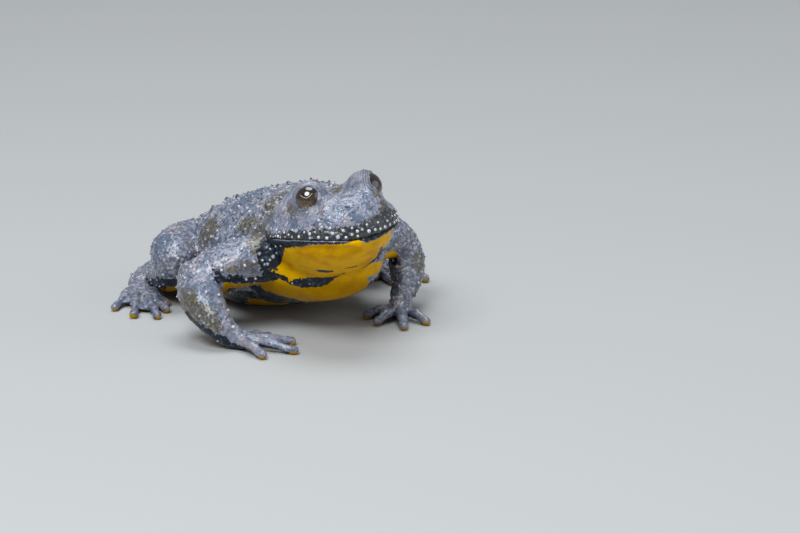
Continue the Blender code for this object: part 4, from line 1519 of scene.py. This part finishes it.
def paintEye():
    material, shader, node = startMaterial("eye_wet")
    spot, cloud, maths, step, mix, patches = skinPatterns(node)
    scale = [1 / (eyeShape["radius"] * mm)] * 3
    inRadii = node("ShaderNodeVectorMath", {0: spot, 1: scale}, operation="MULTIPLY").outputs[0]
    parts = node("ShaderNodeSeparateXYZ", {0: inRadii})
    across, up = parts.outputs["X"], parts.outputs["Y"]
    wobble = maths("MULTIPLY", maths("SUBTRACT", cloud(0.25, 2.0), 0.5), eyeLooks["pupilWobble"])
    away = maths("ADD", pupilDistance(maths, across, up), wobble)
    colour = mix(patches(eyeLooks["irisPatches"]), eyeLooks["black"], eyeLooks["iris"])
    flecks = maths("MULTIPLY", patches(eyeLooks["fleckPatches"]), step(up, *eyeLooks["flecksFrom"]))
    colour = mix(flecks, colour, eyeLooks["fleck"])
    gold = maths("MULTIPLY", patches(eyeLooks["goldPatches"]), step(up, *eyeLooks["goldFrom"]))
    colour = mix(gold, colour, eyeLooks["gold"])
    edge = eyeLooks["pupil"][2] * eyeLooks["pupilReach"]
    rim = step(maths("ABSOLUTE", maths("SUBTRACT", away, edge)), eyeLooks["pupilRim"], 0.01)
    colour = mix(maths("MULTIPLY", rim, step(up, *eyeLooks["rimFrom"])), colour, eyeLooks["gold"])
    colour = mix(step(away, edge - 0.01, edge - 0.05), colour, eyeLooks["black"])
    material.node_tree.links.new(colour, shader.inputs["Base Color"])
    shader.inputs["Roughness"].default_value = eyeLooks["roughness"]
    shader.inputs["Coat Weight"].default_value = 1.0
    shader.inputs["Coat Roughness"].default_value = eyeLooks["coatRoughness"]
    return material


def addEyes():
    mesh = eyeMesh()
    mesh.materials.append(paintEye())
    place = toWorld @ headPlace()
    turn = headPlace().to_3x3()
    for side, number in sides.items():
        gaze = (turn @ lookVector(number, eyeShape["gaze"][side])).normalized()
        right = (turn @ Vector((0, 0, 1))).cross(gaze).normalized()
        up = gaze.cross(right)
        aim = Matrix((right, up, gaze)).transposed().to_4x4()
        ball = bpy.data.objects.new(f"eyeball_{side}", mesh)
        bpy.context.collection.objects.link(ball)
        ball.matrix_world = Matrix.Translation(place @ eyeCentre(number)) @ aim
        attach(ball, "root")
        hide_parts(f"eye_{side}")


addEyes()
print("eyes set")

# Studio

studio = {
    "azimuth": -25.0,
    "elevation": 15.0,
    "distance": 420.0,
    "pixelsPerMm": 8.3,                 # at the aim point, in a picture 800 pixels wide
    "aim": (0.0, -12.0, 12.0),
    "aimPixel": (330.0, 234.0),
    "picture": (800, 533),
    "sensor": 36,
    "clip": (0.001, 20),                # metres, as all below
    "floorSize": 3.0,
    "floorColour": (0.42, 0.42, 0.41),
    "floorRoughness": 0.8,
    "roomColour": (0.82, 0.88, 0.96),
    "roomLight": 0.30,
    "lightsAimAt": (0, -0.006, 0.01),
}

# Round soft lights: place, width, watts, colour
lights = {
    "softbox": ((-0.22, -0.20, 0.36), 0.25, 1.9, (0.90, 0.95, 1.0)),
    "overhead": ((0.05, 0.10, 0.60), 0.4, 2.1, (0.93, 0.97, 1.0)),
    "fill": ((0.45, -0.35, 0.25), 0.5, 0.75, (0.85, 0.92, 1.0)),
}


def addCamera():
    az, el = math.radians(studio["azimuth"]), math.radians(studio["elevation"])
    back = Vector((math.sin(az) * math.cos(el), -math.cos(az) * math.cos(el), math.sin(el)))
    right = Vector((math.cos(az), math.sin(az), 0))
    up = back.cross(right)
    wide, high = studio["picture"]
    scale = studio["pixelsPerMm"]
    across = (wide / 2 - studio["aimPixel"][0]) / scale
    down = (high / 2 - studio["aimPixel"][1]) / scale
    target = Vector(studio["aim"]) + across * right - down * up
    camera = bpy.data.cameras.new("camera")
    camera.sensor_width = studio["sensor"]
    camera.lens = camera.sensor_width * studio["distance"] * scale / wide
    camera.clip_start, camera.clip_end = studio["clip"]
    holder = bpy.data.objects.new("camera", camera)
    bpy.context.collection.objects.link(holder)
    holder.location = toWorld @ (target + studio["distance"] * back)
    holder.rotation_euler = back.to_track_quat("Z", "Y").to_euler()
    bpy.context.scene.camera = holder


def addFloor():
    size = studio["floorSize"] / 2
    corners = [(-size, -size, 0), (size, -size, 0), (size, size, 0), (-size, size, 0)]
    mesh = bpy.data.meshes.new("floor")
    mesh.from_pydata(corners, [], [(0, 1, 2, 3)])
    floor = bpy.data.objects.new("floor", mesh)
    bpy.context.collection.objects.link(floor)
    material, shader = startMaterial("floor")[:2]
    shader.inputs["Base Color"].default_value = (*studio["floorColour"], 1)
    shader.inputs["Roughness"].default_value = studio["floorRoughness"]
    mesh.materials.append(material)


def addLight(name, place, width, watts, colour):
    light = bpy.data.lights.new(name, "AREA")
    light.shape = "DISK"
    light.size = width
    light.energy = watts
    light.color = colour
    holder = bpy.data.objects.new(name, light)
    bpy.context.collection.objects.link(holder)
    holder.location = place
    away = Vector(place) - Vector(studio["lightsAimAt"])
    holder.rotation_euler = away.to_track_quat("Z", "Y").to_euler()


def addRoom():
    world = bpy.data.worlds.new("room")
    bpy.context.scene.world = world
    world.use_nodes = True
    background = world.node_tree.nodes["Background"]
    background.inputs["Color"].default_value = (*studio["roomColour"], 1)
    background.inputs["Strength"].default_value = studio["roomLight"]


addCamera()
addFloor()
for name, light in lights.items():
    addLight(name, *light)
addRoom()
bpy.context.scene.view_settings.view_transform = "Standard"
print("studio set")
